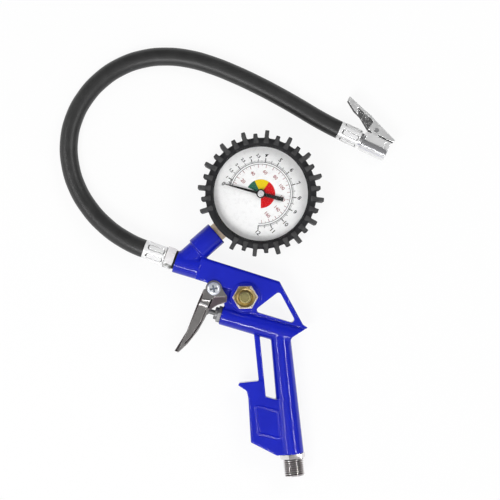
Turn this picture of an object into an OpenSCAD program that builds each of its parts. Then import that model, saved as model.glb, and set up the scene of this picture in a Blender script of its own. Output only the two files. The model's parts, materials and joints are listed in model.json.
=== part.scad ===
// Tyre inflator with a dial gauge: a die-cast pistol body with a squeeze lever, a bottom-entry
// pressure gauge in a rubber boot, and a short rubber hose that ends in a clip-on chuck.
//
// The part lies on its side with the dial up. The origin is the centre of the air inlet thread's
// outer end, +Y runs up the handle, +Z points out of the dial, and z = 0 is the casting's parting
// plane. Three local frames are used: the barrel's (u towards the rear, v up), the gauge's (+X from
// the stem to the top of the dial) and the chuck's (t towards the tyre, n towards the lever).

/* [Casting] */
// Distance from the inlet's outer end to the valve axis
reach = 91; // [89:0.5:96]
// Tilt of the barrel from square to the handle, degrees
rake = 22.5; // [21:0.5:24]
// Height of the barrel axis over the valve axis
barrel_rise = 24; // [23.5:0.25:26]
// Distance from the handle axis to the hose port's face
port_reach = 75.9; // [75:0.5:80]
// Diameter of the round boss at the hose port
port_d = 14.4; // [13.6:0.2:15.5]
// Length of the round boss at the hose port
port_l = 15; // [13:0.5:16]
// Half of the thickness of the flat-sided frame
frame_half = 6.5; // [6:0.1:7]
// Half of the thickness of the recessed web
web_half = 4; // [3:0.25:5]
// Diameter of the valve tube
valve_tube_d = 12.4; // [11.8:0.2:13]
// Distance from the handle axis to the valve tube's mouth
valve_mouth = 38.7; // [37.5:0.25:39.5]
// Diameter of the handle tube at its top
handle_top_d = 12.6; // [12:0.2:13.6]
// Diameter of the handle tube at its foot
handle_foot_d = 14.6; // [13.4:0.2:15]
// Half of the thickness of the grip plate
grip_half = 5; // [4:0.25:5.6]
// Diameter of the pad under the bleed valve
pad_d = 19.6; // [18.6:0.2:21]
// Diameter of the air passages
passage_d = 4; // [3:0.25:4.6]

/* [Inlet] */
// Outer diameter of the inlet thread
inlet_d = 13.16; // [12.6:0.02:13.6]
// Length of the inlet thread
inlet_l = 11.3; // [10:0.1:12]
// Width across the flats of the inlet's hexagon
inlet_af = 14; // [13.6:0.2:16]
// Length of the inlet's hexagon
inlet_hex_l = 3; // [2.6:0.1:4.4]
// Bore of the inlet
inlet_bore_d = 7.2; // [6:0.2:8]

/* [Trigger] */
// Distance from the valve axis up to the trigger's pivot
pivot_v = 14.6; // [14.2:0.1:15]
// Distance from the handle axis to the trigger's pivot
pivot_u = 47.8; // [47:0.1:48.2]
// Diameter of the pivot screw's shank
pivot_d = 5; // [4:0.1:5.4]
// Diameter of the pivot screw's head
pivot_head_d = 8.4; // [7.6:0.2:9]
// Sheet thickness of the trigger
sheet = 1.3; // [1:0.05:1.5]
// Running gap on each side of the trigger
side_gap = 0.25; // [0.15:0.05:0.4]
// Height of the pivot screw's head
pivot_head_h = 2.5; // [2:0.1:3]

/* [Valve] */
// Diameter of the valve stem
stem_d = 3.2; // [2.6:0.1:3.6]
// Bore of the valve tube
valve_bore_d = 8.6; // [8:0.1:9]
// Diameter of the gland nut's round nose
gland_d = 10; // [9.4:0.1:10.8]
// Length of the gland nut outside the tube
gland_l = 4.4; // [3.8:0.1:4.8]
// Width across the flats of the bleed valve's hexagon
bleed_af = 14; // [13:0.2:15]
// Height of the bleed valve's hexagon
bleed_h = 5; // [4:0.1:6]
// Diameter of the bleed button
bleed_button_d = 7.2; // [6.4:0.1:7.6]
// Travel of the bleed button
bleed_travel = 1.5; // [1:0.1:1.7]

/* [Gauge] */
// Distance along the barrel from the hose port's face to the gauge stub's foot
stub_setback = 4.3; // [4:0.1:5.4]
// Angle between the barrel and the gauge stub, degrees
stub_angle = 58; // [57:0.25:59]
// Distance from the barrel axis to the gauge's centre
gauge_reach = 65.9; // [65.4:0.1:68.4]
// Diameter of the window in the boot
window_d = 59.8; // [58.6:0.2:60.4]
// Width of the gauge case's rim round the window
rim_w = 1.6; // [1.5:0.05:2]
// Wall of the gauge case
case_wall = 0.8; // [0.6:0.05:1]
// Depth from the gauge stem's axis to the back of the case
case_back = 10; // [9.6:0.1:10.4]
// Height of the case rim over the gauge stem's axis
case_rim = 13; // [12.6:0.1:13.6]
// Height of the dial over the gauge stem's axis
dial_z = 8.5; // [8.2:0.1:8.9]
// Width across the flats of the gauge stem's square
stem_af = 11.4; // [10.6:0.1:12]
// Wall of the rubber boot round the gauge case
boot_wall = 3.1; // [2.6:0.1:3.6]
// Height of the boot's long lugs
lug_long = 4.8; // [4.2:0.1:5.4]
// Height of the boot's short lugs
lug_short = 2.7; // [2.2:0.1:3.3]
// Thickness of the boot's back
boot_back = 2; // [1.6:0.1:2.4]
// Length of the pointer from its hub to its tip
pointer_l = 24.4; // [23:0.1:25.4]
// Length of the pointer's tail
pointer_tail = 14.5; // [13:0.1:16]
// Radius of the Bourdon tube's arc
bourdon_r = 21.5; // [21:0.1:22.4]
// Tooth module of the gauge's gears
tooth_module = 0.3; // [0.28:0.01:0.32]

/* [Hose] */
// Diameter of the hose
hose_d = 11.5; // [10.8:0.1:12]
// Width across the flats of the hose fitting's hexagon
nut_af = 12; // [11.6:0.2:13.4]
// Length of the hose fitting's hexagon
nut_l = 5.7; // [5:0.1:6.2]
// Diameter of the crimped ferrules
ferrule_d = 12; // [11.4:0.1:12.4]
// Length of the crimped ferrules
ferrule_l = 14.2; // [13:0.1:15]

/* [Chuck] */
// Diameter of the chuck's round body
chuck_d = 12.4; // [12:0.1:13]
// Length of the chuck's body
chuck_l = 17.4; // [17:0.1:18.4]
// Bore for the tyre valve
valve_port_d = 8.4; // [8.2:0.05:8.8]
// Depth of the bore for the tyre valve
valve_port_l = 7.4; // [6.6:0.2:8]
// Half of the chuck lever's width
lever_half = 6.2; // [6.1:0.05:6.4]
// Sheet thickness of the chuck lever
lever_sheet = 1.2; // [0.9:0.05:1.3]
// Diameter of the chuck lever's pin
lever_pin_d = 2.6; // [2.2:0.1:3]

/* [Hidden] */
$fn = 48;

fit = 0.05;       // radial clearance of running and screwed fits
touch = 0.3;      // gap between curved or moving neighbours
e = 1;            // overshoot of cutting tools

// Casting, in the barrel frame
top_v = barrel_rise + port_d / 2 - 0.2;
shoulder_u = -port_reach + port_l;
band_v = valve_tube_d / 2 + 2;
belly_v = barrel_rise - 7.1;
top_rise = 0.5;   // lift of the barrel's top edge at the front, and its fall at the rear
top_fall = 0.3;
rear_u = -9.6;
tube_rear_r = 7.2;  // the valve tube widens and lifts towards the rear
tube_lift = 1.1;
tube_l = 52.7;
heel = [12.4, band_v + 0.7];
spur = [15.7, band_v - 0.2];
bleed_u = -27.4;
bleed_turn = 20.3;  // turn of the bleed valve's hexagon, degrees
bleed_v = 15.1;
lug_r = pivot_d / 2 + 2.4;
pad_top = frame_half + 0.8;
bleed_thread_r = 5;
bleed_floor = -1;
bleed_seal_r = bleed_thread_r + 1.3;
bleed_seal_t = 0.9;
bleed_well_r = 3;
branch_d = passage_d - 0.8;
bleed_well_floor = bleed_floor - 1.9 - bleed_travel - 1;
port_thread_r = 5;
port_thread_l = 8;
port_lift = 0.75;   // the hose fitting sits over the barrel's axis and rises outwards
port_tilt = 3;
stub_neck_d = 13.2;
stub_boss_d = 15.5;
stub_boss_l = 15.9;
shank_l = 2.6;    // bare shank between the stub and the boot
gauge_thread_r = 4.86;
gauge_thread_l = 11;

// Casting, in the row frame
handle_foot_y = inlet_l + inlet_hex_l;
inlet_thread_r = 4.86;
inlet_thread_l = 9;
strut_x = [-16.5, -13];
slot_right_x = -6.7;
slot_foot_y = 51.9;
hook_y = 62.2;
grip_x = -25.3;
handle_bore_d = handle_top_d - 5;

// Trigger, in the barrel frame
ear_in = frame_half + side_gap;
ear_out = ear_in + sheet;
pivot = [-pivot_u, pivot_v];
ear_r = 5.2;
pivot_nut_af = 8;
screw_end = boot_back + case_back;

// Valve, along the barrel frame's u
gland_in = -valve_mouth + 6;
seat_u = [-23.4, -19.4];
seat_bore_d = stem_d + 1.6;
poppet_r = valve_bore_d / 2 - 0.8;
poppet_seal_l = 1.4;
poppet_l = 4;
valve_bore_end = 2.5;
stem_reach = 53.5;  // from the handle axis to the stem's tip
stem_tip = -stem_reach;
stem_head_l = 1.6;

// Gauge
ring_gap = 0.1;
case_r = window_d / 2 + rim_w;
boot_r = case_r + boot_wall;
stub_foot = port_reach - stub_setback;
stub_end = gauge_reach - boot_r - shank_l;
stub_step = stub_end - stub_boss_l;
case_in = case_r - case_wall;
bezel_h = 2.4;
bezel_lip = 0.7;
lens_t = 1.6;
lens_z = case_rim + bezel_h - bezel_lip - lens_t - ring_gap;
lens_rise = 0.7;
boot_front = case_rim + bezel_h + 2;
boot_floor = -case_back - boot_back;
lug_pitch = 11.25;
lug_phase = -2.2;
lug_w = 2.6;
lug_ridge = 0.7;
lug_gap = 1;      // lugs left out on each side of the stem
dial_start = 123.7;
dial_sweep = 259.7;
gear_ratio = 8;
pointer_w = 1.25;
plate_stem_end = 15.9;  // reach of the movement's plates from the arbor, towards the stem
plate_far_end = 6;
plate_low = 9;
plate_high = 8.2;
pinion_teeth = 10;
pinion_r = pinion_teeth * tooth_module / 2;
sector_r = pinion_r * gear_ratio;
sector_turn = dial_sweep / gear_ratio;
centre_distance = pinion_r + sector_r;
sector_pivot_angle = 160;
sector_pivot = centre_distance * [cos(sector_pivot_angle), sin(sector_pivot_angle)];
link_pin = sector_pivot + [-6.5, -0.4];
tip_angle = -148;
tip_pin = (bourdon_r + 0.6) * [cos(tip_angle), sin(tip_angle)];
bourdon_start = 146;
bourdon_end = tip_angle + 4;
block_top = -0.6;
bourdon_mid = -0.8;
bourdon_h = 5.8;
plate_t = 0.8;
plate_gap = 4.4;
sector_z = block_top + plate_t + 0.9;
gear_t = 1.2;
link_z = sector_z + gear_t + 0.2;
plate_top_z = block_top + plate_t + plate_gap;
hair_z = sector_z + gear_t + 0.5;
pivot_pin_r = 0.6;

// Hose
nut_start = port_reach + 1.3;
ferrule_gap = 0.2;
ferrule_start = nut_start + nut_l + ferrule_gap;
mouth = ferrule_start + ferrule_l;
barb_r = 2.9;
ferrule_wall = 0.9;
ferrule_in = ferrule_d / 2 - ferrule_wall;
collar_l = 3;
// The hose's route from the pistol's ferrule, round the gauge and down to the chuck
HOSE_START = [-port_reach - (mouth - port_reach) * cos(port_tilt),
    barrel_rise + port_lift + (mouth - port_reach) * sin(port_tilt)];
HOSE_ROUTE = [[-92.4, 159.7, -0.89], [-103.3, 169.5, -3.27], [-112.2, 181.4, -5.37],
    [-118.5, 195, -6.21], [-121.4, 209.7, -6.25], [-120.7, 224.7, -6.25], [-116, 238.9, -6.25],
    [-107.7, 251.3, -6.25], [-96.6, 261.3, -6.25], [-83.4, 268.3, -6.25], [-68.8, 271.8, -6.25],
    [-53.9, 271.8, -6.25], [-39.2, 268.7, -6.25], [-25.3, 263.2, -6.25], [-12, 256.3, -6.25],
    [0.9, 248.6, -6.25], [13.4, 240.4, -6.25], [25.7, 231.7, -6.25], [37.7, 222.8, -6.03]];
CHUCK_AT = [50.2, 214.5, -5.7];
CHUCK_TURN = -31;
HOSE_SIDES = 12;

// Chuck, in its own frame
body_t = ferrule_l + 1.6;
body_end = body_t + chuck_l;
lever_pin_at = [21.5, 9.4];
lug_end_r = lever_pin_d / 2 + 1;
lug_half = lever_half - lever_sheet - side_gap;
flat_n = 6.4;
claw_t = body_end - 2.2;
claw_w = 1.2;
claw_swing = 0.8;  // room for the claw to lift out towards the end face
spring_t = 17.6;
port_seal_l = 1.6;
port_seal_r = valve_port_d / 2 - 0.3;
port_floor = body_end - valve_port_l - port_seal_l;

// ---------------------------------------------------------------- shared shapes
module barrel_frame() {
    translate([0, reach, 0]) rotate(-rake) children();
}

module gauge_frame() {
    barrel_frame() translate([-stub_foot, barrel_rise, 0]) rotate(stub_angle)
        translate([gauge_reach, 0, 0]) children();
}

module chuck_frame() {
    translate(CHUCK_AT) rotate(CHUCK_TURN) children();
}

module pivot_frame() {
    barrel_frame() translate(pivot) children();
}

module bleed_frame() {
    barrel_frame() translate([bleed_u, bleed_v, 0]) children();
}

// A round bar along the local X axis
module rod(r, from, to, end_r = undef) {
    translate([from, 0, 0]) rotate([0, 90, 0])
        cylinder(r1 = r, r2 = is_undef(end_r) ? r : end_r, h = to - from);
}

module pipe(r_out, r_in, from, to) {
    difference() {
        rod(r_out, from, to);
        rod(r_in, from - e, to + e);
    }
}

// A hexagonal bar along the local X axis, with a flat towards +Y
module hex_bar(af, from, to) {
    translate([from, 0, 0]) rotate([0, 90, 0]) cylinder(d = af / cos(30), h = to - from, $fn = 6);
}

module ring(r_out, r_in, from, to) {
    translate([0, 0, from]) difference() {
        cylinder(r = r_out, h = to - from);
        translate([0, 0, -e]) cylinder(r = r_in, h = to - from + 2 * e);
    }
}

module disc(r, from, to) {
    translate([0, 0, from]) cylinder(r = r, h = to - from);
}

module slab(half) {
    translate([0, 0, -half]) linear_extrude(2 * half) children();
}

module soft_corners(r) {
    offset(r = r, $fn = 32) offset(delta = -r) children();
}

module o_ring(r, wire) {
    rotate_extrude() translate([r, 0]) circle(d = wire, $fn = 24);
}

// Cuts a chamfer along both long edges of a plate of the given half thickness
module edge_chamfers(from, to, half, leg) {
    run = to - from;
    for (side = [-1, 1]) translate([from[0], from[1], side * half])
        rotate(atan2(run[1], run[0])) rotate([45, 0, 0])
            translate([-e, -leg / sqrt(2), -leg / sqrt(2)])
                cube([norm(run) + 2 * e, leg * sqrt(2), leg * sqrt(2)]);
}

// A coil spring along +Z from its foot
module coil(r, wire, height, turns, sides = 6, steps = 8) {
    rings = turns * steps;
    points = [for (i = [0:rings]) for (k = [0:sides - 1])
        let (a = 360 * i / steps, b = 360 * k / sides, d = r + wire / 2 * cos(b))
        [d * cos(a), d * sin(a), wire / 2 + (height - wire) * i / rings + wire / 2 * sin(b)]];
    tube_mesh(points, rings + 1, sides);
}

// A closed tube of triangles from rings of points
module tube_mesh(points, rings, sides) {
    walls = [for (i = [0:rings - 2]) for (k = [0:sides - 1])
        let (a = i * sides + k, b = i * sides + (k + 1) % sides)
        each [[a, a + sides, b], [b, a + sides, b + sides]]];
    first = [for (k = [1:sides - 2]) [0, k, k + 1]];
    last = [for (k = [1:sides - 2]) let (o = (rings - 1) * sides) [o, o + k + 1, o + k]];
    polyhedron(points, concat(walls, first, last));
}

// ---------------------------------------------------------------- casting
// Outline of the flat-sided frame: barrel, rear strut and spur
module frame_outline() {
    polygon([[shoulder_u, top_v + top_rise], [rear_u, top_v - top_fall], heel, spur,
        [14.7, band_v - 1.3], [-22, band_v - 1.3], [-26, band_v], [-20, belly_v],
        [shoulder_u, belly_v]]);
}

// The valve tube, cut off at the back edge of the casting
module valve_tube() {
    intersection() {
        translate([-valve_mouth, 0, 0]) rotate(atan2(tube_lift, tube_l))
            rod(valve_tube_d / 2, -e, tube_l + 4, tube_rear_r);
        slab(tube_rear_r + 2 * e) polygon([[-valve_mouth, -12], [-valve_mouth, 12], [20, 12],
            spur, [8.3, -0.3], [7.6, -2.2], [8.6, -6], [6, -12]]);
    }
}

// Rounded triangular window behind the bleed valve
module frame_window() {
    soft_corners(1.8) polygon([[-8, barrel_rise + 0.8], [-19.9, band_v], [8.6, band_v]]);
}

module bleed_pad() {
    translate([bleed_u, bleed_v]) circle(d = pad_d);
}

// Recessed web between the barrel and the valve tube
module web_outline() {
    polygon([[-valve_mouth + 1.5, 0], [-valve_mouth + 1.5, 5], [-44.5, pivot_v - 1],
        [-46, barrel_rise], [-18, barrel_rise], [-18, band_v], [11, band_v], [7, 0]]);
}

module pivot_lug() {
    translate(pivot) circle(r = lug_r);
    translate(pivot - [lug_r, 0]) square([2 * lug_r, barrel_rise - pivot_v]);
}

module grip_outline() {
    polygon([[strut_x[0], hook_y], [grip_x - 3.3, hook_y], [grip_x - 4.4, hook_y - 1.3],
        [grip_x + 0.7, hook_y - 5.6], [grip_x + 1.2, hook_y - 9.8], [grip_x, 24.3],
        [-9.8, handle_foot_y], [0, handle_foot_y], [0, slot_foot_y - 2.5],
        [slot_right_x, slot_foot_y - 2.5], [strut_x[1], slot_foot_y], [strut_x[1], hook_y]]);
}

module strut_outline() {
    polygon([[strut_x[0], slot_foot_y - 4], [strut_x[1], slot_foot_y - 4],
        [strut_x[1], reach - 1], [strut_x[0], reach + 1]]);
}

// Raised border of the bare panel on each side of the grip
module panel_border() {
    panel = [[-20.3, 47.7], [-5.8, 42.6], [-5.8, 24.5], [-20.3, 29.3]];
    difference() {
        soft_corners(1.6) polygon(panel);
        offset(delta = -0.7) soft_corners(1.6) polygon(panel);
    }
}

module gauge_stub() {
    translate([-stub_foot, barrel_rise, 0]) rotate(stub_angle) {
        rod(stub_neck_d / 2, 2, stub_step);
        rod(stub_boss_d / 2, stub_step, stub_end);
    }
}

module casting_solids() {
    barrel_frame() {
        translate([0, barrel_rise, 0]) rod(port_d / 2, -port_reach - 0.6, shoulder_u + 0.5);
        slab(frame_half) frame_outline();
        slab(web_half) web_outline();
        valve_tube();
        slab(frame_half) pivot_lug();
        slab(frame_half) bleed_pad();
        translate([bleed_u, bleed_v, 0]) disc(pad_d / 2 - 0.6, 0, pad_top);
        gauge_stub();
    }
    translate([0, handle_foot_y, 0]) rotate([-90, 0, 0])
        cylinder(d1 = handle_foot_d, d2 = handle_top_d, h = reach - handle_foot_y);
    slab(grip_half - 0.5) strut_outline();
    slab(grip_half) grip_outline();
    slab(grip_half + 0.5) panel_border();
}

module casting_bores() {
    port_axis() {
        rod(port_d, port_reach, port_reach + 4);
        rod(port_thread_r + fit, port_reach - port_thread_l, port_reach + e);
    }
    barrel_frame() {
        translate([0, barrel_rise, 0])
            rod(passage_d / 2, -port_reach + port_thread_l - 1, bleed_u);
        rod(valve_bore_d / 2, -valve_mouth - e, valve_bore_end);
        translate([bleed_u, 0, bleed_floor - branch_d / 2 - 0.2]) rotate([-90, 0, 0])
            cylinder(d = branch_d, h = barrel_rise);
        translate([bleed_u, bleed_v, 0]) {
            disc(bleed_thread_r + fit, bleed_floor, pad_top + e);
            disc(bleed_seal_r + fit, pad_top - bleed_seal_t, pad_top + e);
            disc(bleed_well_r, bleed_well_floor, bleed_floor + e);
        }
        translate([-pivot_u, pivot_v, 0]) disc(pivot_d / 2 + fit, -ear_out, ear_out);
        translate([-stub_foot, barrel_rise, 0]) rotate(stub_angle) {
            rod(gauge_thread_r + fit, stub_end - gauge_thread_l, stub_end + e);
            rod(branch_d / 2, stub_end - gauge_thread_l - e, stub_end);
        }
        translate([-stub_foot + (stub_end - gauge_thread_l) * cos(stub_angle), barrel_rise, 0])
            rotate(90) rod(branch_d / 2, 0, (stub_end - gauge_thread_l) * sin(stub_angle));
    }
    translate([0, handle_foot_y - e, 0]) rotate([-90, 0, 0]) {
        cylinder(d = handle_bore_d, h = reach - handle_foot_y + e);
        cylinder(r = inlet_thread_r + fit, h = inlet_thread_l + e);
    }
}

module casting_edges() {
    barrel_frame() {
        edge_chamfers([shoulder_u, top_v + top_rise], [rear_u, top_v - top_fall], frame_half, 1.3);
        edge_chamfers([rear_u, top_v - top_fall], heel, frame_half, 1);
        edge_chamfers([shoulder_u, belly_v], [-pivot_u - lug_r - 2 * e, belly_v], frame_half, 1);
        slab(frame_half + 2 * e) frame_window();
    }
    edge_chamfers([grip_x + 1.14, hook_y - 11.5], [grip_x, 24.3], grip_half, 1);
    edge_chamfers([grip_x, 24.3], [-9.8, handle_foot_y], grip_half, 0.7);
}

module body_casting() color("royalblue") difference() {
    casting_solids();
    casting_edges();
    casting_bores();
}

// ---------------------------------------------------------------- inlet
module inlet_nipple() color("gainsboro") rotate([0, 0, 90]) difference() {
    union() {
        rod(inlet_d / 2, 0, inlet_l);
        intersection() {
            hex_bar(inlet_af, inlet_l, handle_foot_y);
            rod(inlet_af / 2 / cos(30) - 1 + inlet_hex_l, inlet_l - inlet_hex_l + 0.5,
                handle_foot_y + 0.5, inlet_af / 2 / cos(30) - 0.3);
        }
        rod(inlet_thread_r, handle_foot_y, handle_foot_y + inlet_thread_l - 0.6);
    }
    rod(inlet_bore_d / 2, -e, inlet_l);
    rod(inlet_bore_d / 2 - 0.8, 0, handle_foot_y + inlet_thread_l);
}

module inlet_seal() color("black") rotate([0, 0, 90])
    pipe(inlet_thread_r - 0.4, handle_bore_d / 2 - 1, handle_foot_y + inlet_thread_l - 0.6,
        handle_foot_y + inlet_thread_l);

module inlet_strainer() color("silver") rotate([0, 0, 90]) difference() {
    rod(inlet_bore_d / 2 - fit, inlet_l - 1.6, inlet_l);
    rod(inlet_bore_d / 2 - 0.9, inlet_l - 2, inlet_l - 0.6);
    for (k = [0:5]) rotate([60 * k, 0, 0]) translate([0, 1.5, 0])
        rod(0.5, inlet_l - 2, inlet_l + 1, $fn = 16);
}

// ---------------------------------------------------------------- trigger and valve
// Finger edge of the trigger, from its shoulder down to its tip
FINGER_EDGE = [[-6.1, -2.4], [-7.1, -11.3], [-8.6, -30.3], [-12.4, -44.6]];
INNER_EDGE = [[-2.2, -37.8], [-2, -28.3], [-0.2, -20.6], [0.9, -14.2], [5, -9.4], [10.1, -5.8],
    [9.4, -2.2]];

module trigger_side() {
    difference() {
        union() {
            circle(r = ear_r);
            polygon(concat(FINGER_EDGE, [[-9.8, -44.6], [-5.8, -37.8]], [for (p = INNER_EDGE)
                if (p[1] > -30) p], [[4.9, 1.6]]));
        }
        circle(d = pivot_d + 2 * fit);
    }
}

module trigger_base() {
    inner = [for (p = FINGER_EDGE) p + [sheet, 0.2]];
    polygon(concat(FINGER_EDGE, [for (i = [3:-1:0]) inner[i]]));
}

module trigger() color("lightgray") pivot_frame() {
    for (side = [-1, 1]) translate([0, 0, side * (ear_in + sheet / 2)])
        slab(sheet / 2) trigger_side();
    slab(ear_out) trigger_base();
}

module pivot_screw() color("silver") pivot_frame() {
    disc(pivot_d / 2, -screw_end, ear_out + side_gap);
    translate([0, 0, ear_out + side_gap]) rotate_extrude()
        polygon([[0, 0], [pivot_head_d / 2, 0], [pivot_head_d / 2, pivot_head_h * 0.45],
            [pivot_head_d / 2 - 0.5, pivot_head_h * 0.8], [pivot_head_d / 2 - 1.4, pivot_head_h],
            [0, pivot_head_h]]);
}

module pivot_nut() color("silver") pivot_frame() difference() {
    union() {
        translate([0, 0, -screw_end + 1.2])
            cylinder(d = pivot_nut_af / cos(30), h = screw_end - 1.2 - ear_out - side_gap, $fn = 6);
        disc(pivot_nut_af / 2 - 0.5, -screw_end + 0.3, -screw_end + 1.2);
    }
    disc(pivot_d / 2 + fit, -screw_end, 0);
}

module gland_nut() color("lightsteelblue") barrel_frame() difference() {
    union() {
        hex_bar(gland_d - 0.2, -valve_mouth - 2.4, -valve_mouth);
        rod(gland_d / 2 - 1, -valve_mouth - gland_l, -valve_mouth - 2.4);
        rod(valve_bore_d / 2 - fit, -valve_mouth, gland_in);
    }
    rod(stem_d / 2 + fit, -valve_mouth - gland_l - e, gland_in + e);
    rod(stem_d / 2 + 1.1, gland_in - 2, gland_in + e);
}

module stem_oring() color("black") barrel_frame()
    translate([gland_in - 0.9, 0, 0]) rotate([0, 90, 0]) o_ring(stem_d / 2 + 0.6, 1);

module valve_seat() color("goldenrod") barrel_frame() difference() {
    rod(valve_bore_d / 2 - fit, seat_u[0], seat_u[1]);
    rod(seat_bore_d / 2, seat_u[0] - e, seat_u[1] + e);
    translate([(seat_u[0] + seat_u[1]) / 2, 0, 0]) pipe(valve_bore_d / 2 + e,
        valve_bore_d / 2 - 0.9, -0.7, 0.7);
}

module seat_seal() color("black") barrel_frame()
    translate([(seat_u[0] + seat_u[1]) / 2, 0, 0]) rotate([0, 90, 0])
        o_ring(valve_bore_d / 2 - 0.5, 0.76);

module valve_stem() color("silver") barrel_frame() {
    rod(stem_d / 2, stem_tip, seat_u[1] + poppet_seal_l + poppet_l);
    rod(stem_d / 2 + 0.8, -valve_mouth - gland_l - 1.2 - stem_head_l - 2.6,
        -valve_mouth - gland_l - 3.4);
}

module valve_poppet() color("goldenrod") barrel_frame()
    pipe(poppet_r, stem_d / 2 + fit, seat_u[1] + poppet_seal_l, seat_u[1] + poppet_seal_l + poppet_l);

module poppet_seal() color("black") barrel_frame()
    pipe(poppet_r, stem_d / 2 + fit, seat_u[1], seat_u[1] + poppet_seal_l);

module valve_spring() color("silver") barrel_frame()
    translate([seat_u[1] + poppet_seal_l + poppet_l, 0, 0]) rotate([0, 90, 0])
        coil(poppet_r - 0.7, 0.8, valve_bore_end - seat_u[1] - poppet_seal_l - poppet_l, 7);

// ---------------------------------------------------------------- bleed valve
module bleed_body() color("goldenrod") bleed_frame() difference() {
    union() {
        intersection() {
            translate([0, 0, pad_top]) rotate(bleed_turn)
                cylinder(d = bleed_af / cos(30), h = bleed_h, $fn = 6);
            translate([0, 0, pad_top]) cylinder(r1 = bleed_af / 2 / cos(30) + bleed_h,
                r2 = bleed_af / 2 / cos(30) - 0.7, h = bleed_h);
        }
        disc(bleed_thread_r, bleed_floor, pad_top);
    }
    disc(bleed_button_d / 2 + fit, bleed_floor + 2.2, pad_top + bleed_h + e);
    disc(bleed_button_d / 2 + 1.3, pad_top + bleed_h - 1, pad_top + bleed_h + e);
    disc(1.7, bleed_floor - e, bleed_floor + 3);
}

module bleed_seal() color("black") bleed_frame() ring(bleed_seal_r, bleed_thread_r + fit,
    pad_top - bleed_seal_t, pad_top);

module bleed_button() color("khaki") bleed_frame() {
    disc(bleed_button_d / 2, pad_top + 1.2, pad_top + bleed_h + 0.7);
    disc(1.1, bleed_floor - 0.4, pad_top + 1.2);
}

module bleed_poppet() color("black") bleed_frame() disc(2.4, bleed_floor - 1.9, bleed_floor - 0.4);

module bleed_spring() color("silver") bleed_frame() translate([0, 0, bleed_floor + 2.2])
    coil(bleed_button_d / 2 - 0.9, 0.6, pad_top + 1.2 - bleed_floor - 2.2, 5);

// ---------------------------------------------------------------- gauge
module gauge_socket() color("goldenrod") gauge_frame() difference() {
    union() {
        translate([-gauge_reach + stub_end, -stem_af / 2, -stem_af / 2])
            cube([gauge_reach - stub_end - 22, stem_af, stem_af]);
        translate([-24, -stem_af / 2, -stem_af / 2]) cube([17, stem_af, stem_af / 2 + block_top]);
        translate([-24, stem_af / 2 - 1, -3.4]) cube([5.4, 5, 3.4 + block_top]);
        rotate(bourdon_start) rotate_extrude(angle = 16) translate([bourdon_r, bourdon_mid])
            square([4, bourdon_h - 0.4], center = true);
        rod(gauge_thread_r, -gauge_reach + stub_end - gauge_thread_l + 0.5,
            -gauge_reach + stub_end);
    }
    rod(branch_d / 2, -gauge_reach, -22);
}

module gauge_case() color("lightgray") gauge_frame() difference() {
    disc(case_r, -case_back, case_rim);
    disc(case_in, -case_back + case_wall, case_rim + e);
    translate([-case_r - e, -stem_af / 2 - fit, -stem_af / 2 - fit])
        cube([8, stem_af + 2 * fit, stem_af + 2 * fit]);
    for (x = [-21, -12]) translate([x, 0, -case_back - e]) cylinder(r = 1.4 + fit, h = 3);
}

module case_screws() color("silver") gauge_frame() for (x = [-21, -12]) translate([x, 0, 0]) {
    disc(1.4, -case_back, -stem_af / 2);
    disc(2.4, -case_back - 1.4, -case_back);
}

module gauge_bezel() color("silver") gauge_frame() rotate_extrude() polygon([
    [case_r, case_rim], [case_r, case_rim + bezel_h], [window_d / 2 + 0.4, case_rim + bezel_h],
    [window_d / 2 + 0.4, case_rim + bezel_h - bezel_lip], [case_in, case_rim + bezel_h - bezel_lip],
    [case_in, case_rim]]);

// Shallow dome of the window glass
function dome(r, rise, base) = [for (k = [0:8]) let (x = r * k / 8) [x, base + rise * (1 - pow(x / r, 2))]];

module gauge_lens() color("white", 0.3) gauge_frame() rotate_extrude() {
    r = case_in - ring_gap;
    upper = dome(r, lens_rise, lens_z + lens_t);
    lower = dome(r, lens_rise, lens_z);
    polygon(concat(upper, [for (k = [8:-1:0]) lower[k]]));
}

module lens_gasket() color("black") gauge_frame() {
    ring(case_in - ring_gap, case_in - 1.3, dial_z + 0.6, lens_z);
}

module dial_plate() color("white") gauge_frame() ring(case_in - ring_gap, 1.3, dial_z, dial_z + 0.6);

module pointer() color("black") gauge_frame() rotate(dial_start) {
    translate([0, 0, dial_z + 2]) linear_extrude(0.5) difference() {
        union() {
            polygon([[0, -pointer_w], [-pointer_tail, -pointer_w], [-pointer_tail, pointer_w],
                [0, pointer_w], [pointer_l - 6.4, 0.6 * pointer_w], [pointer_l, 0],
                [pointer_l - 6.4, -0.6 * pointer_w]]);
            circle(r = 2.2);
        }
        circle(r = pivot_pin_r + 0.1 + fit);
    }
    difference() {
        disc(2.7, dial_z + 2.5, dial_z + 3.3);
        disc(pivot_pin_r + 0.1 + fit, dial_z + 2, dial_z + 2.9);
    }
}

// Plain gear teeth with straight flanks, around the origin
module teeth(count, first, step, pitch_r) {
    for (k = [0:count - 1]) rotate(first + k * step)
        polygon([[pitch_r - 1.2 * tooth_module, -0.95 * tooth_module],
            [pitch_r + 0.85 * tooth_module, -0.4 * tooth_module],
            [pitch_r + 0.85 * tooth_module, 0.4 * tooth_module],
            [pitch_r - 1.2 * tooth_module, 0.95 * tooth_module]]);
}

module pinion_arbor() color("goldenrod") gauge_frame() {
    mesh_angle = sector_pivot_angle + 180 / pinion_teeth;
    translate([0, 0, sector_z]) linear_extrude(gear_t) {
        circle(r = pinion_r - 1.15 * tooth_module);
        teeth(pinion_teeth, mesh_angle, 360 / pinion_teeth, pinion_r);
    }
    disc(pivot_pin_r, block_top + 0.2, sector_z);
    disc(pivot_pin_r + 0.1, sector_z + gear_t, dial_z + 2.8);
    disc(1.1, hair_z + 0.2, hair_z + 0.7);
}

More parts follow.
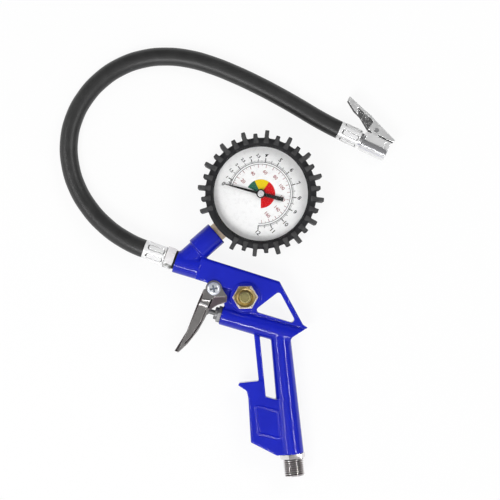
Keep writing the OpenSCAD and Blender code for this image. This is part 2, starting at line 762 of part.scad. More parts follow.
module sector_gear() color("goldenrod") gauge_frame() translate(sector_pivot) {
    facing = sector_pivot_angle + 180;
    step = 360 / (pinion_teeth * gear_ratio);
    spare = 2;
    back = floor(sector_turn / step) + spare;
    translate([0, 0, sector_z]) linear_extrude(gear_t) {
        difference() {
            circle(r = sector_r - 1.15 * tooth_module, $fn = 96);
            circle(r = sector_r - 2.2, $fn = 96);
            rotate(facing - (back + 0.4) * step) translate([-20, -40]) square([40, 40]);
            rotate(facing + (spare + 0.4) * step) translate([-20, 0]) square([40, 40]);
        }
        teeth(back + spare + 1, facing - back * step, step, sector_r);
        for (a = [facing - (back - 1) * step, facing + step])
            rotate(a) translate([0, -0.6]) square([sector_r - 1, 1.2]);
        circle(r = 1.6);
        polygon([[0, -1.2], [0, 1.2], (link_pin - sector_pivot) + [0, 1.1],
            (link_pin - sector_pivot) + [-1.1, 0], (link_pin - sector_pivot) + [0, -1.1]]);
    }
    disc(pivot_pin_r, block_top + 0.2, plate_top_z + 0.4);
    translate(link_pin - sector_pivot) disc(0.5, sector_z + gear_t, link_z + 1.2);
}

module movement_link() color("goldenrod") gauge_frame() translate([0, 0, link_z])
    linear_extrude(0.8) {
        run = tip_pin - link_pin;
        difference() {
            union() {
                for (p = [link_pin, tip_pin]) translate(p) circle(r = 1.1);
                translate(link_pin) rotate(atan2(run[1], run[0])) translate([0.9, -0.5])
                    square([norm(run) - 1.8, 1]);
            }
            for (p = [link_pin, tip_pin]) translate(p) circle(r = 0.5 + fit, $fn = 24);
        }
    }

module bourdon_tube() color("peru") gauge_frame()
    rotate(bourdon_end) rotate_extrude(angle = bourdon_start - bourdon_end)
        translate([bourdon_r, bourdon_mid]) square([2.4, bourdon_h], center = true);

module bourdon_tip() color("goldenrod") gauge_frame() {
    rotate(bourdon_end - 8) rotate_extrude(angle = 8) translate([bourdon_r, bourdon_mid])
        square([3, 2 * (link_z - 0.2 - bourdon_mid)], center = true);
    translate(tip_pin) disc(0.5, link_z - 0.4, link_z + 1.2);
}

module movement_plates() color("goldenrod") gauge_frame() difference() {
    for (z = [block_top, plate_top_z]) translate([0, 0, z]) linear_extrude(plate_t)
        soft_corners(2) polygon([[-plate_stem_end, -plate_low], [-plate_stem_end, plate_high],
            [plate_far_end, plate_high], [plate_far_end, -plate_low]]);
    for (p = [[0, 0], sector_pivot]) translate(p)
        disc(pivot_pin_r + 0.1 + fit, block_top - e, plate_top_z + plate_t + e, $fn = 24);
}

PILLARS = [[3.6, 5.8], [3.6, -6.6], [-13.4, -6.8]];

module movement_pillars() color("silver") gauge_frame() for (p = PILLARS) translate(p) {
    disc(1.2, block_top + plate_t, plate_top_z);
    disc(1.2, plate_top_z + plate_t, dial_z);
}

module hairspring() color("steelblue") gauge_frame() translate([0, 0, hair_z])
    linear_extrude(0.5) {
        turns = 3;
        steps = 20 * turns;
        inner_r = 1.1 + fit;
        pitch = 0.62;
        spiral = [for (i = [0:steps]) let (a = 360 * turns * i / steps, r = inner_r + pitch * a / 360)
            [r * cos(a), r * sin(a)]];
        wide = [for (i = [steps:-1:0]) let (a = 360 * turns * i / steps, r = inner_r + 0.2 + pitch * a / 360)
            [r * cos(a), r * sin(a)]];
        polygon(concat(spiral, wide));
    }

module boot_lug(r) {
    translate([case_r + 0.6, -lug_w / 2, boot_floor + 0.4]) cube([r - case_r - 0.6, lug_w,
        boot_front - boot_floor - 1]);
    translate([window_d / 2 + 1.6, -lug_w / 2, boot_front - 1])
        cube([r - window_d / 2 - 2.6, lug_w, 1 + lug_ridge]);
}

module gauge_boot() color([0.12, 0.12, 0.12]) gauge_frame() {
    difference() {
        union() {
            rotate_extrude($fn = 96) polygon([[10, boot_floor], [boot_r - 1, boot_floor],
                [boot_r, boot_floor + 1], [boot_r, boot_front - 1.4],
                [boot_r - 1.4, boot_front], [window_d / 2 + 0.9, boot_front],
                [window_d / 2, boot_front - 0.9], [window_d / 2, case_rim + bezel_h],
                [case_r + fit, case_rim + bezel_h], [case_r + fit, -case_back],
                [10, -case_back]]);
            for (k = [1 + lug_gap:31 - lug_gap])
                rotate(180 + lug_phase + lug_pitch * k)
                    boot_lug(boot_r + (k % 2 == 0 ? lug_long : lug_short));
        }
        translate([-boot_r - lug_long, -stem_af / 2 - touch, -stem_af / 2 - touch])
            cube([12, stem_af + 2 * touch, stem_af + 2 * touch]);
        for (x = [-21, -12]) translate([x, 0, 0]) disc(2.4 + touch, boot_floor - e, -case_back);
    }
}

// ---------------------------------------------------------------- hose
module port_axis() {
    barrel_frame() translate([-port_reach, barrel_rise + port_lift, 0]) rotate(-port_tilt)
        mirror([1, 0, 0]) translate([-port_reach, 0, 0]) children();
}

module port_washer() color("black") port_axis() pipe(nut_af / 2 + 0.1, port_thread_r - 0.6,
    port_reach, nut_start);

// Hose tail with its barb; x runs out of the port
module hose_fitting() color("gainsboro") port_axis() difference() {
    union() {
        rod(port_thread_r, port_reach - port_thread_l + 1, port_reach);
        rod(port_thread_r - 0.7, port_reach, nut_start);
        intersection() {
            hex_bar(nut_af, nut_start, nut_start + nut_l);
            rod(nut_af / 2 / cos(30) - 0.5, nut_start, nut_start + nut_l, nut_af / 2 / cos(30) + 0.4);
        }
        rod(barb_r, nut_start + nut_l, mouth - 1);
    }
    rod(passage_d / 2 - 0.4, port_reach - port_thread_l, mouth);
}

// A crimped ferrule: a plain collar at its mouth and long pockets pressed into the rest
module ferrule(from, to, mouth_first) {
    lo = mouth_first ? from + collar_l : from + 1.6;
    hi = mouth_first ? to - 1.6 : to - collar_l;
    difference() {
        rod(ferrule_d / 2, from, to);
        rod(ferrule_in, from + (mouth_first ? -e : ferrule_wall), to + (mouth_first ? -ferrule_wall : e));
        rod(barb_r + fit, from - e, to + e);
        for (k = [0:7]) rotate([45 * k, 0, 0]) translate([lo, -1.3, ferrule_d / 2 - 0.45])
            cube([hi - lo, 2.6, 2]);
    }
}

module hose_ferrule() color("gainsboro") port_axis() ferrule(ferrule_start, mouth, false);

module chuck_ferrule() color("gainsboro") chuck_frame() ferrule(0, ferrule_l, true);

module hose_ends() color([0.1, 0.1, 0.1]) {
    port_axis() pipe(ferrule_in - fit, barb_r + fit, ferrule_start + ferrule_wall, mouth);
    chuck_frame() pipe(ferrule_in - fit, barb_r + fit, 0, ferrule_l - ferrule_wall);
}

function turned(p, a) = [p[0] * cos(a) - p[1] * sin(a), p[0] * sin(a) + p[1] * cos(a)];

module hose() color([0.1, 0.1, 0.1]) {
    start = turned(HOSE_START, -rake) + [0, reach];
    points = concat([[start[0], start[1], 0]], HOSE_ROUTE, [CHUCK_AT]);
    count = len(points);
    first = turned([-1, 0], -rake - port_tilt);
    last = turned([1, 0], CHUCK_TURN);
    rings = [for (i = [0:count - 1])
        let (run = i == 0 ? [first[0], first[1], 0] : i == count - 1 ? [last[0], last[1], 0]
                : points[i + 1] - points[i - 1],
            t = run / norm(run), s = cross(t, [0, 0, 1]) / norm(cross(t, [0, 0, 1])), w = cross(s, t))
        for (k = [0:HOSE_SIDES - 1]) let (a = 360 * (k + 0.5) / HOSE_SIDES)
            points[i] + hose_d / 2 * (cos(a) * s + sin(a) * w)];
    tube_mesh(rings, count, HOSE_SIDES);
}

// ---------------------------------------------------------------- chuck
module chuck_fitting() color("gainsboro") chuck_frame() difference() {
    union() {
        rod(barb_r, 1, ferrule_l);
        rod(4.6, ferrule_l, body_t);
        rod(3.6, body_t, port_floor - 3);
    }
    rod(passage_d / 2 - 0.4, 0, body_end);
}

module chuck_body() color("whitesmoke") chuck_frame() difference() {
    union() {
        rod(chuck_d / 2 - 0.5, body_t, body_t + 0.5, chuck_d / 2);
        rod(chuck_d / 2, body_t + 0.5, body_end - 0.5);
        rod(chuck_d / 2, body_end - 0.5, body_end, chuck_d / 2 - 0.5);
        translate([body_t + 0.5, 0.6, -lug_half]) cube([chuck_l - 0.5, flat_n - 0.6, 2 * lug_half]);
        slab(lug_half) {
            translate(lever_pin_at) circle(r = lug_end_r);
            translate([lever_pin_at[0] - lug_end_r, 0]) square([2 * lug_end_r, lever_pin_at[1]]);
        }
    }
    for (side = [-1, 1]) translate([body_t + 1.4, 0.6, side > 0 ? lug_half : -lug_half - 4])
        cube([chuck_l, 10, 4]);
    rod(valve_port_d / 2, body_end - valve_port_l, body_end + e);
    rod(port_seal_r + fit, port_floor, body_end);
    rod(3.6 + fit, body_t - e, port_floor - 3);
    rod(passage_d / 2, body_t, body_end);
    translate([claw_t - claw_w / 2 - touch, 0, -3]) cube([claw_w + touch + claw_swing, 20, 6]);
    translate(lever_pin_at) disc(lever_pin_d / 2 + fit, -10, 10);
}

module chuck_seal() color("black") chuck_frame() pipe(port_seal_r, passage_d / 2 + 0.2,
    port_floor, port_floor + port_seal_l - 0.1);

module chuck_core_pin() color("goldenrod") chuck_frame() {
    rod(0.8, port_floor - 3, port_floor + port_seal_l - 0.1);
    rod(passage_d / 2 - 0.05, port_floor - 3, port_floor - 2);
}

// Side plate of the chuck's lever, in the chuck frame
module lever_side() {
    polygon([[-2.9, 18.8], [-2.9, 21.6], [3.7, 19.5], [10.2, 17.5], [14.6, 16.4], [17.9, 14.8],
        [30.8, 10], [34.7, 8.5], [34.3, 6.9], [19.6, 7.3], [16.4, 7.5], [8.5, 12.8], [3.5, 14.6]]);
}

// Outer skin of the lever: the side plate's upper edge, one sheet thick
module lever_back() {
    edge = [[-2.9, 21.6], [3.7, 19.5], [10.2, 17.5], [14.6, 16.4], [17.9, 14.8], [30.8, 10],
        [34.7, 8.5]];
    polygon(concat(edge, [for (i = [6:-1:0]) edge[i] - [0.2, lever_sheet]]));
}

module lever_claw() {
    translate([claw_t - claw_w / 2, valve_port_d / 2 + touch])
        square([claw_w, 9.6 - valve_port_d / 2 - touch]);
}

module chuck_lever() color("whitesmoke") chuck_frame() difference() {
    union() {
        for (side = [-1, 1]) translate([0, 0, side * (lever_half - lever_sheet / 2)])
            slab(lever_sheet / 2) lever_side();
        slab(lever_half) lever_back();
        slab(3 - touch) lever_claw();
    }
    translate(lever_pin_at) disc(lever_pin_d / 2 + fit, -lever_half - e, lever_half + e);
}

module chuck_lever_pin() color("silver") chuck_frame() translate(lever_pin_at)
    disc(lever_pin_d / 2, -lever_half, lever_half);

module chuck_spring() color("silver") chuck_frame() translate([spring_t, flat_n, 0])
    rotate([-90, 0, 0]) coil(1.1, 0.5, 6.9, 5);

body_casting();
inlet_nipple();
inlet_seal();
inlet_strainer();
trigger();
pivot_screw();
pivot_nut();
gland_nut();
stem_oring();
valve_seat();
seat_seal();
valve_stem();
valve_poppet();
poppet_seal();
valve_spring();
bleed_body();
bleed_seal();
bleed_button();
bleed_poppet();
bleed_spring();
gauge_socket();
gauge_case();
case_screws();
gauge_bezel();
gauge_lens();
lens_gasket();
dial_plate();
pointer();
pinion_arbor();
sector_gear();
movement_link();
bourdon_tube();
bourdon_tip();
movement_plates();
movement_pillars();
hairspring();
gauge_boot();
port_washer();
hose_fitting();
hose_ferrule();
hose();
hose_ends();
chuck_ferrule();
chuck_fitting();
chuck_body();
chuck_seal();
chuck_core_pin();
chuck_lever();
chuck_lever_pin();
chuck_spring();
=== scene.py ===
"""Tyre inflator with a dial gauge, a squeeze lever and a short hose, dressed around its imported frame."""
import json
import math

import bpy
from mathutils import Matrix, Vector


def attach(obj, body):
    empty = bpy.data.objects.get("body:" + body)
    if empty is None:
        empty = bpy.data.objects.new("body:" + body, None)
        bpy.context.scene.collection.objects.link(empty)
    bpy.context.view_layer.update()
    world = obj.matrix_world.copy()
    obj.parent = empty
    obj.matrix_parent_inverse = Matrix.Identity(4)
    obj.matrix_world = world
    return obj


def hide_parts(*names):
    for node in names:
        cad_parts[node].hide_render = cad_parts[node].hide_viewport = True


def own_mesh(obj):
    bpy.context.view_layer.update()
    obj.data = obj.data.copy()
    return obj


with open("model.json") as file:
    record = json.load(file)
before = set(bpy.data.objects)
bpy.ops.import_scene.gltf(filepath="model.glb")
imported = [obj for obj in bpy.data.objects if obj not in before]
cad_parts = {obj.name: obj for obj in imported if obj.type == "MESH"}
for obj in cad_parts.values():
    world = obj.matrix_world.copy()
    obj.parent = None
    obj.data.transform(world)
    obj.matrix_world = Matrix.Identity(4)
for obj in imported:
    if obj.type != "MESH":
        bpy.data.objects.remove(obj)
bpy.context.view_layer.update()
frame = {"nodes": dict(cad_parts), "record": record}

MM = 0.001
FULL_TURN = 2 * math.pi
WELD = 1e-6            # metres between corners that are one corner, in pieces made here
CAD_WELD = 2e-6        # the same for CAD shapes and threads


# ---------------------------------------------------------------- places
def place(x, y, degrees, z=0.0):
    """A frame at a point in millimetres, turned about Z."""
    return Matrix.Translation((x * MM, y * MM, z * MM)) @ Matrix.Rotation(math.radians(degrees), 4, "Z")


def rolled(degrees):
    """A roll about a frame's X axis."""
    return Matrix.Rotation(math.radians(degrees), 4, "X")


def at(frame_, x, y=0.0, z=0.0):
    """A point of a frame, given in millimetres."""
    return frame_ @ Vector((x * MM, y * MM, z * MM))


ROW = Matrix.Identity(4)
UPRIGHT = Matrix.Rotation(-math.pi / 2, 4, "Y")     # stands a turned piece's X up along Z
HANDLE = place(0, 0, 90)                 # X runs up the handle
BARREL = place(0, 91, -22.5)             # X runs to the rear of the barrel
PORT = BARREL @ place(-75.9, 24.75, 177) @ place(-75.9, 0, 0)    # X runs out of the port, its face at 75.9
PIVOT = BARREL @ place(-47.8, 14.6, 0)
BLEED = BARREL @ place(-27.4, 15.1, 0)
STUB = BARREL @ place(-71.6, 24, 58)     # X runs from the barrel to the gauge
GAUGE = STUB @ place(65.9, 0, 0)         # X runs to the top of the dial
CHUCK = place(50.2, 214.5, -31, -5.7)    # X runs to the tyre valve
BENCH_Z = -12 * MM

# ---------------------------------------------------------------- camera
CAMERA_TURN = -5.8
LOOK_AT = Vector((-13.6 * MM, 144.55 * MM, 0))
DISTANCE = 1.1
SEEN_WIDTH = 315 * MM
SENSOR_WIDTH = 36
camera_data = bpy.data.cameras.new("camera")
camera_data.sensor_width = SENSOR_WIDTH
camera_data.lens = SENSOR_WIDTH * DISTANCE / SEEN_WIDTH
camera = bpy.data.objects.new("camera", camera_data)
camera.location = LOOK_AT + Vector((0, 0, DISTANCE))
camera.rotation_euler = (0, 0, math.radians(CAMERA_TURN))
bpy.context.scene.collection.objects.link(camera)
bpy.context.scene.camera = camera
bpy.context.scene.view_settings.view_transform = "Standard"


# ---------------------------------------------------------------- modelling
def alone(obj):
    """Makes a piece the only selected one."""
    bpy.ops.object.select_all(action="DESELECT")
    obj.select_set(True)
    bpy.context.view_layer.objects.active = obj
    return obj


def shape(obj, **kinds):
    """Applies one modifier after another: shape(obj, BEVEL={...}, SUBSURF={...})."""
    alone(obj)
    for kind, settings in kinds.items():
        modifier = obj.modifiers.new(kind, kind)
        for key, value in settings.items():
            setattr(modifier, key, value)
        bpy.ops.object.modifier_apply(modifier=modifier.name)
    return obj


def new_piece(name):
    """Names the active piece and its mesh."""
    obj = bpy.context.active_object
    obj.name = obj.data.name = name
    return obj


def settle(obj, matrix):
    """Moves a piece made at the origin to its frame, with its place in its mesh."""
    obj.matrix_world = matrix
    alone(obj)
    bpy.ops.object.transform_apply(location=True, rotation=True, scale=True)
    return obj


def close_up(obj):
    """Merges doubles and turns the faces outwards."""
    alone(obj)
    bpy.ops.object.mode_set(mode="EDIT")
    bpy.ops.mesh.select_all(action="SELECT")
    bpy.ops.mesh.remove_doubles(threshold=WELD)
    bpy.ops.mesh.normals_make_consistent(inside=False)
    bpy.ops.object.mode_set(mode="OBJECT")
    return obj


def smooth(obj, degrees=32):
    """Shades a piece smooth but for edges sharper than an angle."""
    alone(obj)
    bpy.ops.object.shade_smooth_by_angle(angle=math.radians(degrees))
    return obj


def chain(name, points):
    """A bare edge chain through points in metres, extruded one after the other; left in edit mode."""
    bpy.ops.object.select_all(action="DESELECT")
    bpy.ops.mesh.primitive_plane_add(size=MM)
    obj = new_piece(name)
    bpy.ops.object.mode_set(mode="EDIT")
    bpy.ops.mesh.select_all(action="SELECT")
    bpy.ops.mesh.merge(type="CENTER")
    bpy.ops.transform.translate(value=points[0])
    for last, point in zip(points, points[1:]):
        bpy.ops.mesh.extrude_region_move(TRANSFORM_OT_translate={"value": point - last})
    bpy.ops.mesh.select_all(action="SELECT")
    return obj


def turned(name, outline, matrix=ROW, steps=64):
    """A turned piece: its outline holds (along, radius) points in millimetres about the frame's X."""
    obj = chain(name, [Vector((along * MM, 0, radius * MM)) for along, radius in outline])
    bpy.ops.mesh.spin(steps=steps, angle=FULL_TURN, center=(0, 0, 0), axis=(1, 0, 0))
    bpy.ops.object.mode_set(mode="OBJECT")
    return settle(close_up(obj), matrix)


def drawn(name, outline, low, high, matrix=ROW):
    """A flat piece: an outline in the frame's XY plane, thick from one height to another."""
    obj = chain(name, [Vector((x * MM, y * MM, low * MM)) for x, y in outline])
    bpy.ops.mesh.edge_face_add()
    bpy.ops.mesh.extrude_region_move(TRANSFORM_OT_translate={"value": (0, 0, (high - low) * MM)})
    bpy.ops.object.mode_set(mode="OBJECT")
    return settle(close_up(obj), matrix)


def cut(obj, tool, operation="DIFFERENCE"):
    """Cuts, joins or meets a piece with a tool, which is used up."""
    shape(obj, BOOLEAN={"object": tool, "operation": operation, "solver": "EXACT"})
    bpy.data.objects.remove(tool)
    return obj


def joined(name, *pieces):
    """Several pieces as one."""
    alone(pieces[0])
    for piece in pieces[1:]:
        piece.select_set(True)
    bpy.ops.object.join()
    return new_piece(name)


def repeated(name, piece, matrices):
    """Copies of a piece, one per matrix, each with its own mesh, as one piece."""
    copies = []
    for matrix in matrices:
        copy = piece.copy()
        copy.data = piece.data.copy()
        bpy.context.scene.collection.objects.link(copy)
        copies.append(settle(copy, matrix))
    bpy.data.objects.remove(piece)
    return joined(name, *copies)


def soft_edges(obj, width, degrees):
    """Rounds the edges that are sharper than an angle."""
    return shape(obj, BEVEL={"width": width * MM, "segments": 2, "limit_method": "ANGLE",
                             "angle_limit": math.radians(degrees), "use_clamp_overlap": True,
                             "miter_outer": "MITER_ARC"})


CHAMFER_SLOPE = 0.58      # a nut's chamfer stands 30 degrees off its end


def hexagon(name, across, low, high, turn=0.0, chamfer_low=0.0, chamfer_high=0.0, edge=0.2):
    """A nut's hexagon along X at the origin, with turned chamfers at its ends."""
    corner = across / math.sqrt(3)
    bpy.ops.object.select_all(action="DESELECT")
    bpy.ops.mesh.primitive_cylinder_add(vertices=6, radius=corner * MM, depth=(high - low) * MM)
    obj = settle(new_piece(name), Matrix.Translation(((low + high) / 2 * MM, 0, 0))
                 @ rolled(turn) @ Matrix.Rotation(math.pi / 2, 4, "Y"))
    soft_edges(obj, edge, 40)
    rim = corner + 0.01
    blank = turned("blank", [(low, 0), (low, corner - chamfer_low), (low + chamfer_low * CHAMFER_SLOPE, rim),
                             (high - chamfer_high * CHAMFER_SLOPE, rim), (high, corner - chamfer_high),
                             (high, 0)], steps=96)
    return cut(obj, blank, "INTERSECT")


def threaded(name, radius, depth, pitch, start, end, steps=48):
    """A screw thread along X at the origin, cut off square at both ends."""
    begin = start - 2 * pitch
    turns = math.ceil((end - begin) / pitch) + 1
    tooth = [(0, radius - depth), (0.1, radius - depth), (0.42, radius), (0.58, radius),
             (0.9, radius - depth), (1, radius - depth)]
    obj = chain(name, [Vector(((begin + a * pitch) * MM, 0, r * MM)) for a, r in tooth])
    bpy.ops.object.mode_set(mode="OBJECT")
    shape(obj, SCREW={"axis": "X", "angle": FULL_TURN, "screw_offset": pitch * MM, "iterations": turns,
                      "steps": steps, "render_steps": steps, "use_merge_vertices": True})
    bpy.ops.object.mode_set(mode="EDIT")
    bpy.ops.mesh.select_all(action="SELECT")
    bpy.ops.mesh.remove_doubles(threshold=CAD_WELD)
    for spot, side in ((start, -1), (end, 1)):
        bpy.ops.mesh.select_all(action="SELECT")
        bpy.ops.mesh.bisect(plane_co=(spot * MM, 0, 0), plane_no=(side, 0, 0), use_fill=True,
                            clear_outer=True)
    bpy.ops.object.mode_set(mode="OBJECT")
    return close_up(obj)


def cad_copy(name, node, tidy=0.5):
    """A merged copy of a CAD node's shape, with flat faces made whole again."""
    obj = frame["nodes"][node].copy()
    obj.data = obj.data.copy()
    obj.parent = None
    for key in list(obj.keys()):
        del obj[key]
    bpy.context.scene.collection.objects.link(obj)
    alone(obj)
    new_piece(name)
    obj.matrix_world = ROW
    bpy.ops.object.mode_set(mode="EDIT")
    bpy.ops.mesh.select_all(action="SELECT")
    bpy.ops.mesh.remove_doubles(threshold=CAD_WELD)
    if tidy:
        bpy.ops.mesh.dissolve_limited(angle_limit=math.radians(tidy))
    bpy.ops.object.mode_set(mode="OBJECT")
    return obj


def melted(obj, voxel, rounds, ratio=1.0):
    """Runs a piece's edges and inner corners into each other, as casting, pressing and plating do."""
    shape(obj, REMESH={"mode": "VOXEL", "voxel_size": voxel * MM, "use_smooth_shade": True},
          SMOOTH={"factor": 0.5, "iterations": rounds})
    if ratio < 1:
        shape(obj, DECIMATE={"decimate_type": "COLLAPSE", "ratio": ratio})
    return smooth(obj, 50)


def dress(obj, finish, body, slot, *nodes):
    """Gives a finished piece its material and its body, and hides the CAD nodes it stands for; its slot is
    not used.
    """
    obj.data.materials.clear()
    obj.data.materials.append(finish)
    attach(obj, body)
    if nodes:
        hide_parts(*nodes)
    return obj


# ---------------------------------------------------------------- effects
def add_node(tree, kind, inputs, **settings):
    """A shader node with its settings and its inputs, each a socket to link or a plain value."""
    node = tree.nodes.new("ShaderNode" + kind)
    for key, value in settings.items():
        setattr(node, key, value)
    for key, value in inputs.items():
        if isinstance(value, bpy.types.NodeSocket):
            tree.links.new(value, node.inputs[key])
        else:
            node.inputs[key].default_value = value
    return node


def effect(name, inputs, output):
    """An empty effect group with its sockets; returns the group, its inputs and its output's node."""
    group = bpy.data.node_groups.new(name, "ShaderNodeTree")
    for label, value in inputs.items():
        vector = isinstance(value, tuple)
        socket = group.interface.new_socket(label, in_out="INPUT",
                                            socket_type="NodeSocketVector" if vector else "NodeSocketFloat")
        socket.default_value = value
    group.interface.new_socket(output, in_out="OUTPUT", socket_type="NodeSocketFloat")
    return group, group.nodes.new("NodeGroupInput").outputs, group.nodes.new("NodeGroupOutput")


def maths(tree, operation, first, second, **more):
    """The result of a sum on two sockets or numbers."""
    return add_node(tree, "Math", {0: first, 1: second}, operation=operation, **more).outputs[0]


def object_points(tree):
    """Where a point of the piece lies in the row frame."""
    return tree.nodes.new("ShaderNodeTexCoord").outputs["Object"]


def build_corner_mask(name, start, end, patch_scale, detail, bare, full):
    """Where corners stick out or close in, broken up by a noise between two of its levels."""
    group, given, result = effect(name, {"From": start, "To": end, "Patch Scale": patch_scale}, "Mask")
    edge = group.nodes.new("ShaderNodeNewGeometry").outputs["Pointiness"]
    mask = add_node(group, "MapRange", {"Value": edge, "From Min": given["From"], "From Max": given["To"]})
    patches = add_node(group, "TexNoise", {"Vector": object_points(group), "Scale": given["Patch Scale"],
                                           "Detail": detail})
    broken = add_node(group, "MapRange", {"Value": patches.outputs[0], "From Min": bare, "From Max": full})
    group.links.new(maths(group, "MULTIPLY", mask.outputs[0], broken.outputs[0]), result.inputs[0])
    return group


def build_handled():
    """Roughness of a surface that has been handled: a base value with faint smears."""
    group, given, result = effect("handled", {"Base": 0.3, "Spread": 0.1, "Smear Scale": 60.0}, "Roughness")
    smears = add_node(group, "TexNoise", {"Vector": object_points(group), "Scale": given["Smear Scale"],
                                          "Detail": 5.0, "Roughness": 0.65})
    centred = maths(group, "SUBTRACT", smears.outputs[0], 0.5)
    group.links.new(maths(group, "ADD", maths(group, "MULTIPLY", centred, given["Spread"]), given["Base"],
                          use_clamp=True), result.inputs[0])
    return group


def build_skin():
    """Height of a sprayed or moulded skin: a fine peel over slow waves."""
    group, given, result = effect("skin", {"Peel Scale": 700.0, "Peel": 0.5, "Wave Scale": 120.0,
                                           "Wave": 1.0}, "Height")
    points = object_points(group)
    peel = add_node(group, "TexNoise", {"Vector": points, "Scale": given["Peel Scale"], "Detail": 1.0})
    wave = add_node(group, "TexNoise", {"Vector": points, "Scale": given["Wave Scale"], "Detail": 2.0})
    group.links.new(maths(group, "ADD", maths(group, "MULTIPLY", peel.outputs[0], given["Peel"]),
                          maths(group, "MULTIPLY", wave.outputs[0], given["Wave"])), result.inputs[0])
    return group


def build_drawn_grain():
    """Height of the fine lines that drawing, turning or grinding leaves along one direction."""
    group, given, result = effect("drawn_grain", {"Stretch": (80.0, 1800.0, 1800.0)}, "Height")
    lines = add_node(group, "VectorMath", {0: object_points(group), 1: given["Stretch"]},
                     operation="MULTIPLY")
    noise = add_node(group, "TexNoise", {"Vector": lines.outputs[0], "Scale": 1.0, "Detail": 3.0})
    group.links.new(noise.outputs[0], result.inputs[0])
    return group


def build_stains():
    """Slow clouds of a second tint."""
    group, given, result = effect("stains", {"Cloud Scale": 90.0, "From": 0.45, "To": 0.75}, "Mask")
    cloud = add_node(group, "TexNoise", {"Vector": object_points(group), "Scale": given["Cloud Scale"],
                                         "Detail": 4.0, "Roughness": 0.6})
    mask = add_node(group, "MapRange", {"Value": cloud.outputs[0], "From Min": given["From"],
                                        "From Max": given["To"]})
    group.links.new(mask.outputs[0], result.inputs[0])
    return group


# the edge mask paints paler edges, as wear and painted highlight; the corner mask paints darker hollows, as
# grime and painted shade
EFFECTS = {"rubbed_and_lit_edges": build_corner_mask("rubbed_and_lit_edges", 0.52, 0.6, 300.0, 3.0, 0.35, 0.6),
           "grimy_and_shaded_corners": build_corner_mask("grimy_and_shaded_corners", 0.49, 0.42, 200.0, 2.0, 0.2, 0.7),
           "handled": build_handled(), "skin": build_skin(), "drawn_grain": build_drawn_grain(),
           "stains": build_stains()}


def use(tree, name, **values):
    """Places an effect in a material, with its values: use(tree, "skin", Peel_Scale=900)."""
    node = tree.nodes.new("ShaderNodeGroup")
    node.node_tree = EFFECTS[name]
    for key, value in values.items():
        node.inputs[key.replace("_", " ")].default_value = value
    return node.outputs[0]


# ---------------------------------------------------------------- finishes
def start_finish(name, metallic=0.0, **plain):
    """A material with its own Principled BSDF; plain values go straight on its sockets."""
    finish = bpy.data.materials.new(name)
    finish.use_nodes = True
    tree = finish.node_tree
    bsdf = tree.nodes["Principled BSDF"]
    bsdf.inputs["Metallic"].default_value = metallic
    for key, value in plain.items():
        bsdf.inputs[key.replace("_", " ")].default_value = value
    return finish, tree, bsdf


def tinted(tree, *layers):
    """A base colour, then (mask, colour) layers over it; returns the colour socket."""
    colour = (*layers[0], 1)
    for mask, over in layers[1:]:
        mix = tree.nodes.new("ShaderNodeMix")
        mix.data_type = "RGBA"
        tree.links.new(mask, mix.inputs["Factor"])
        if isinstance(colour, bpy.types.NodeSocket):
            tree.links.new(colour, mix.inputs["A"])
        else:
            mix.inputs["A"].default_value = colour
        mix.inputs["B"].default_value = (*over, 1)
        colour = mix.outputs["Result"]
    return colour


def bumped(tree, bsdf, *heights):
    """Bumps on top of each other: (height socket, depth in micrometres)."""
    normal = None
    for height, depth in heights:
        bump = add_node(tree, "Bump", {"Height": height, "Strength": 1.0, "Distance": depth * 1e-6})
        if normal:
            tree.links.new(normal, bump.inputs["Normal"])
        normal = bump.outputs["Normal"]
    tree.links.new(normal, bsdf.inputs["Normal"])


def by_reach(tree, centre, weights, near, far):
    """Goes from 0 to 1 between two distances in millimetres from a point, or from the line or plane
    through it that zero weights leave."""
    away = add_node(tree, "VectorMath", {0: object_points(tree), 1: tuple(centre)}, operation="SUBTRACT")
    kept = add_node(tree, "VectorMath", {0: away.outputs[0], 1: weights}, operation="MULTIPLY")
    reach = add_node(tree, "VectorMath", {0: kept.outputs[0]}, operation="LENGTH")
    return add_node(tree, "MapRange", {"Value": reach.outputs["Value"], "From Min": near * MM,
                                       "From Max": far * MM}).outputs[0]


def paint(tree, bsdf, colour, roughness):
    """Links a colour and a roughness."""
    tree.links.new(colour, bsdf.inputs["Base Color"])
    tree.links.new(roughness, bsdf.inputs["Roughness"])


def make_blue_paint():
    """Sprayed gloss paint, darker in its corners with grime and painted shade, and paler at its edges with
    wear and painted highlight.
    """
    finish, tree, bsdf = start_finish("blue_paint", Specular_IOR_Level=0.4)
    paint(tree, bsdf,
          tinted(tree, (0.006, 0.014, 0.45), (use(tree, "stains", Cloud_Scale=45.0), (0.008, 0.018, 0.52)),
                 (use(tree, "grimy_and_shaded_corners"), (0.003, 0.006, 0.2)),
                 (use(tree, "rubbed_and_lit_edges", From=0.56, To=0.66), (0.03, 0.045, 0.62))),
          use(tree, "handled", Base=0.1, Spread=0.1, Smear_Scale=70.0))
    bumped(tree, bsdf, (use(tree, "skin", Peel_Scale=650.0, Peel=0.5, Wave_Scale=150.0, Wave=1.6), 60))
    return finish


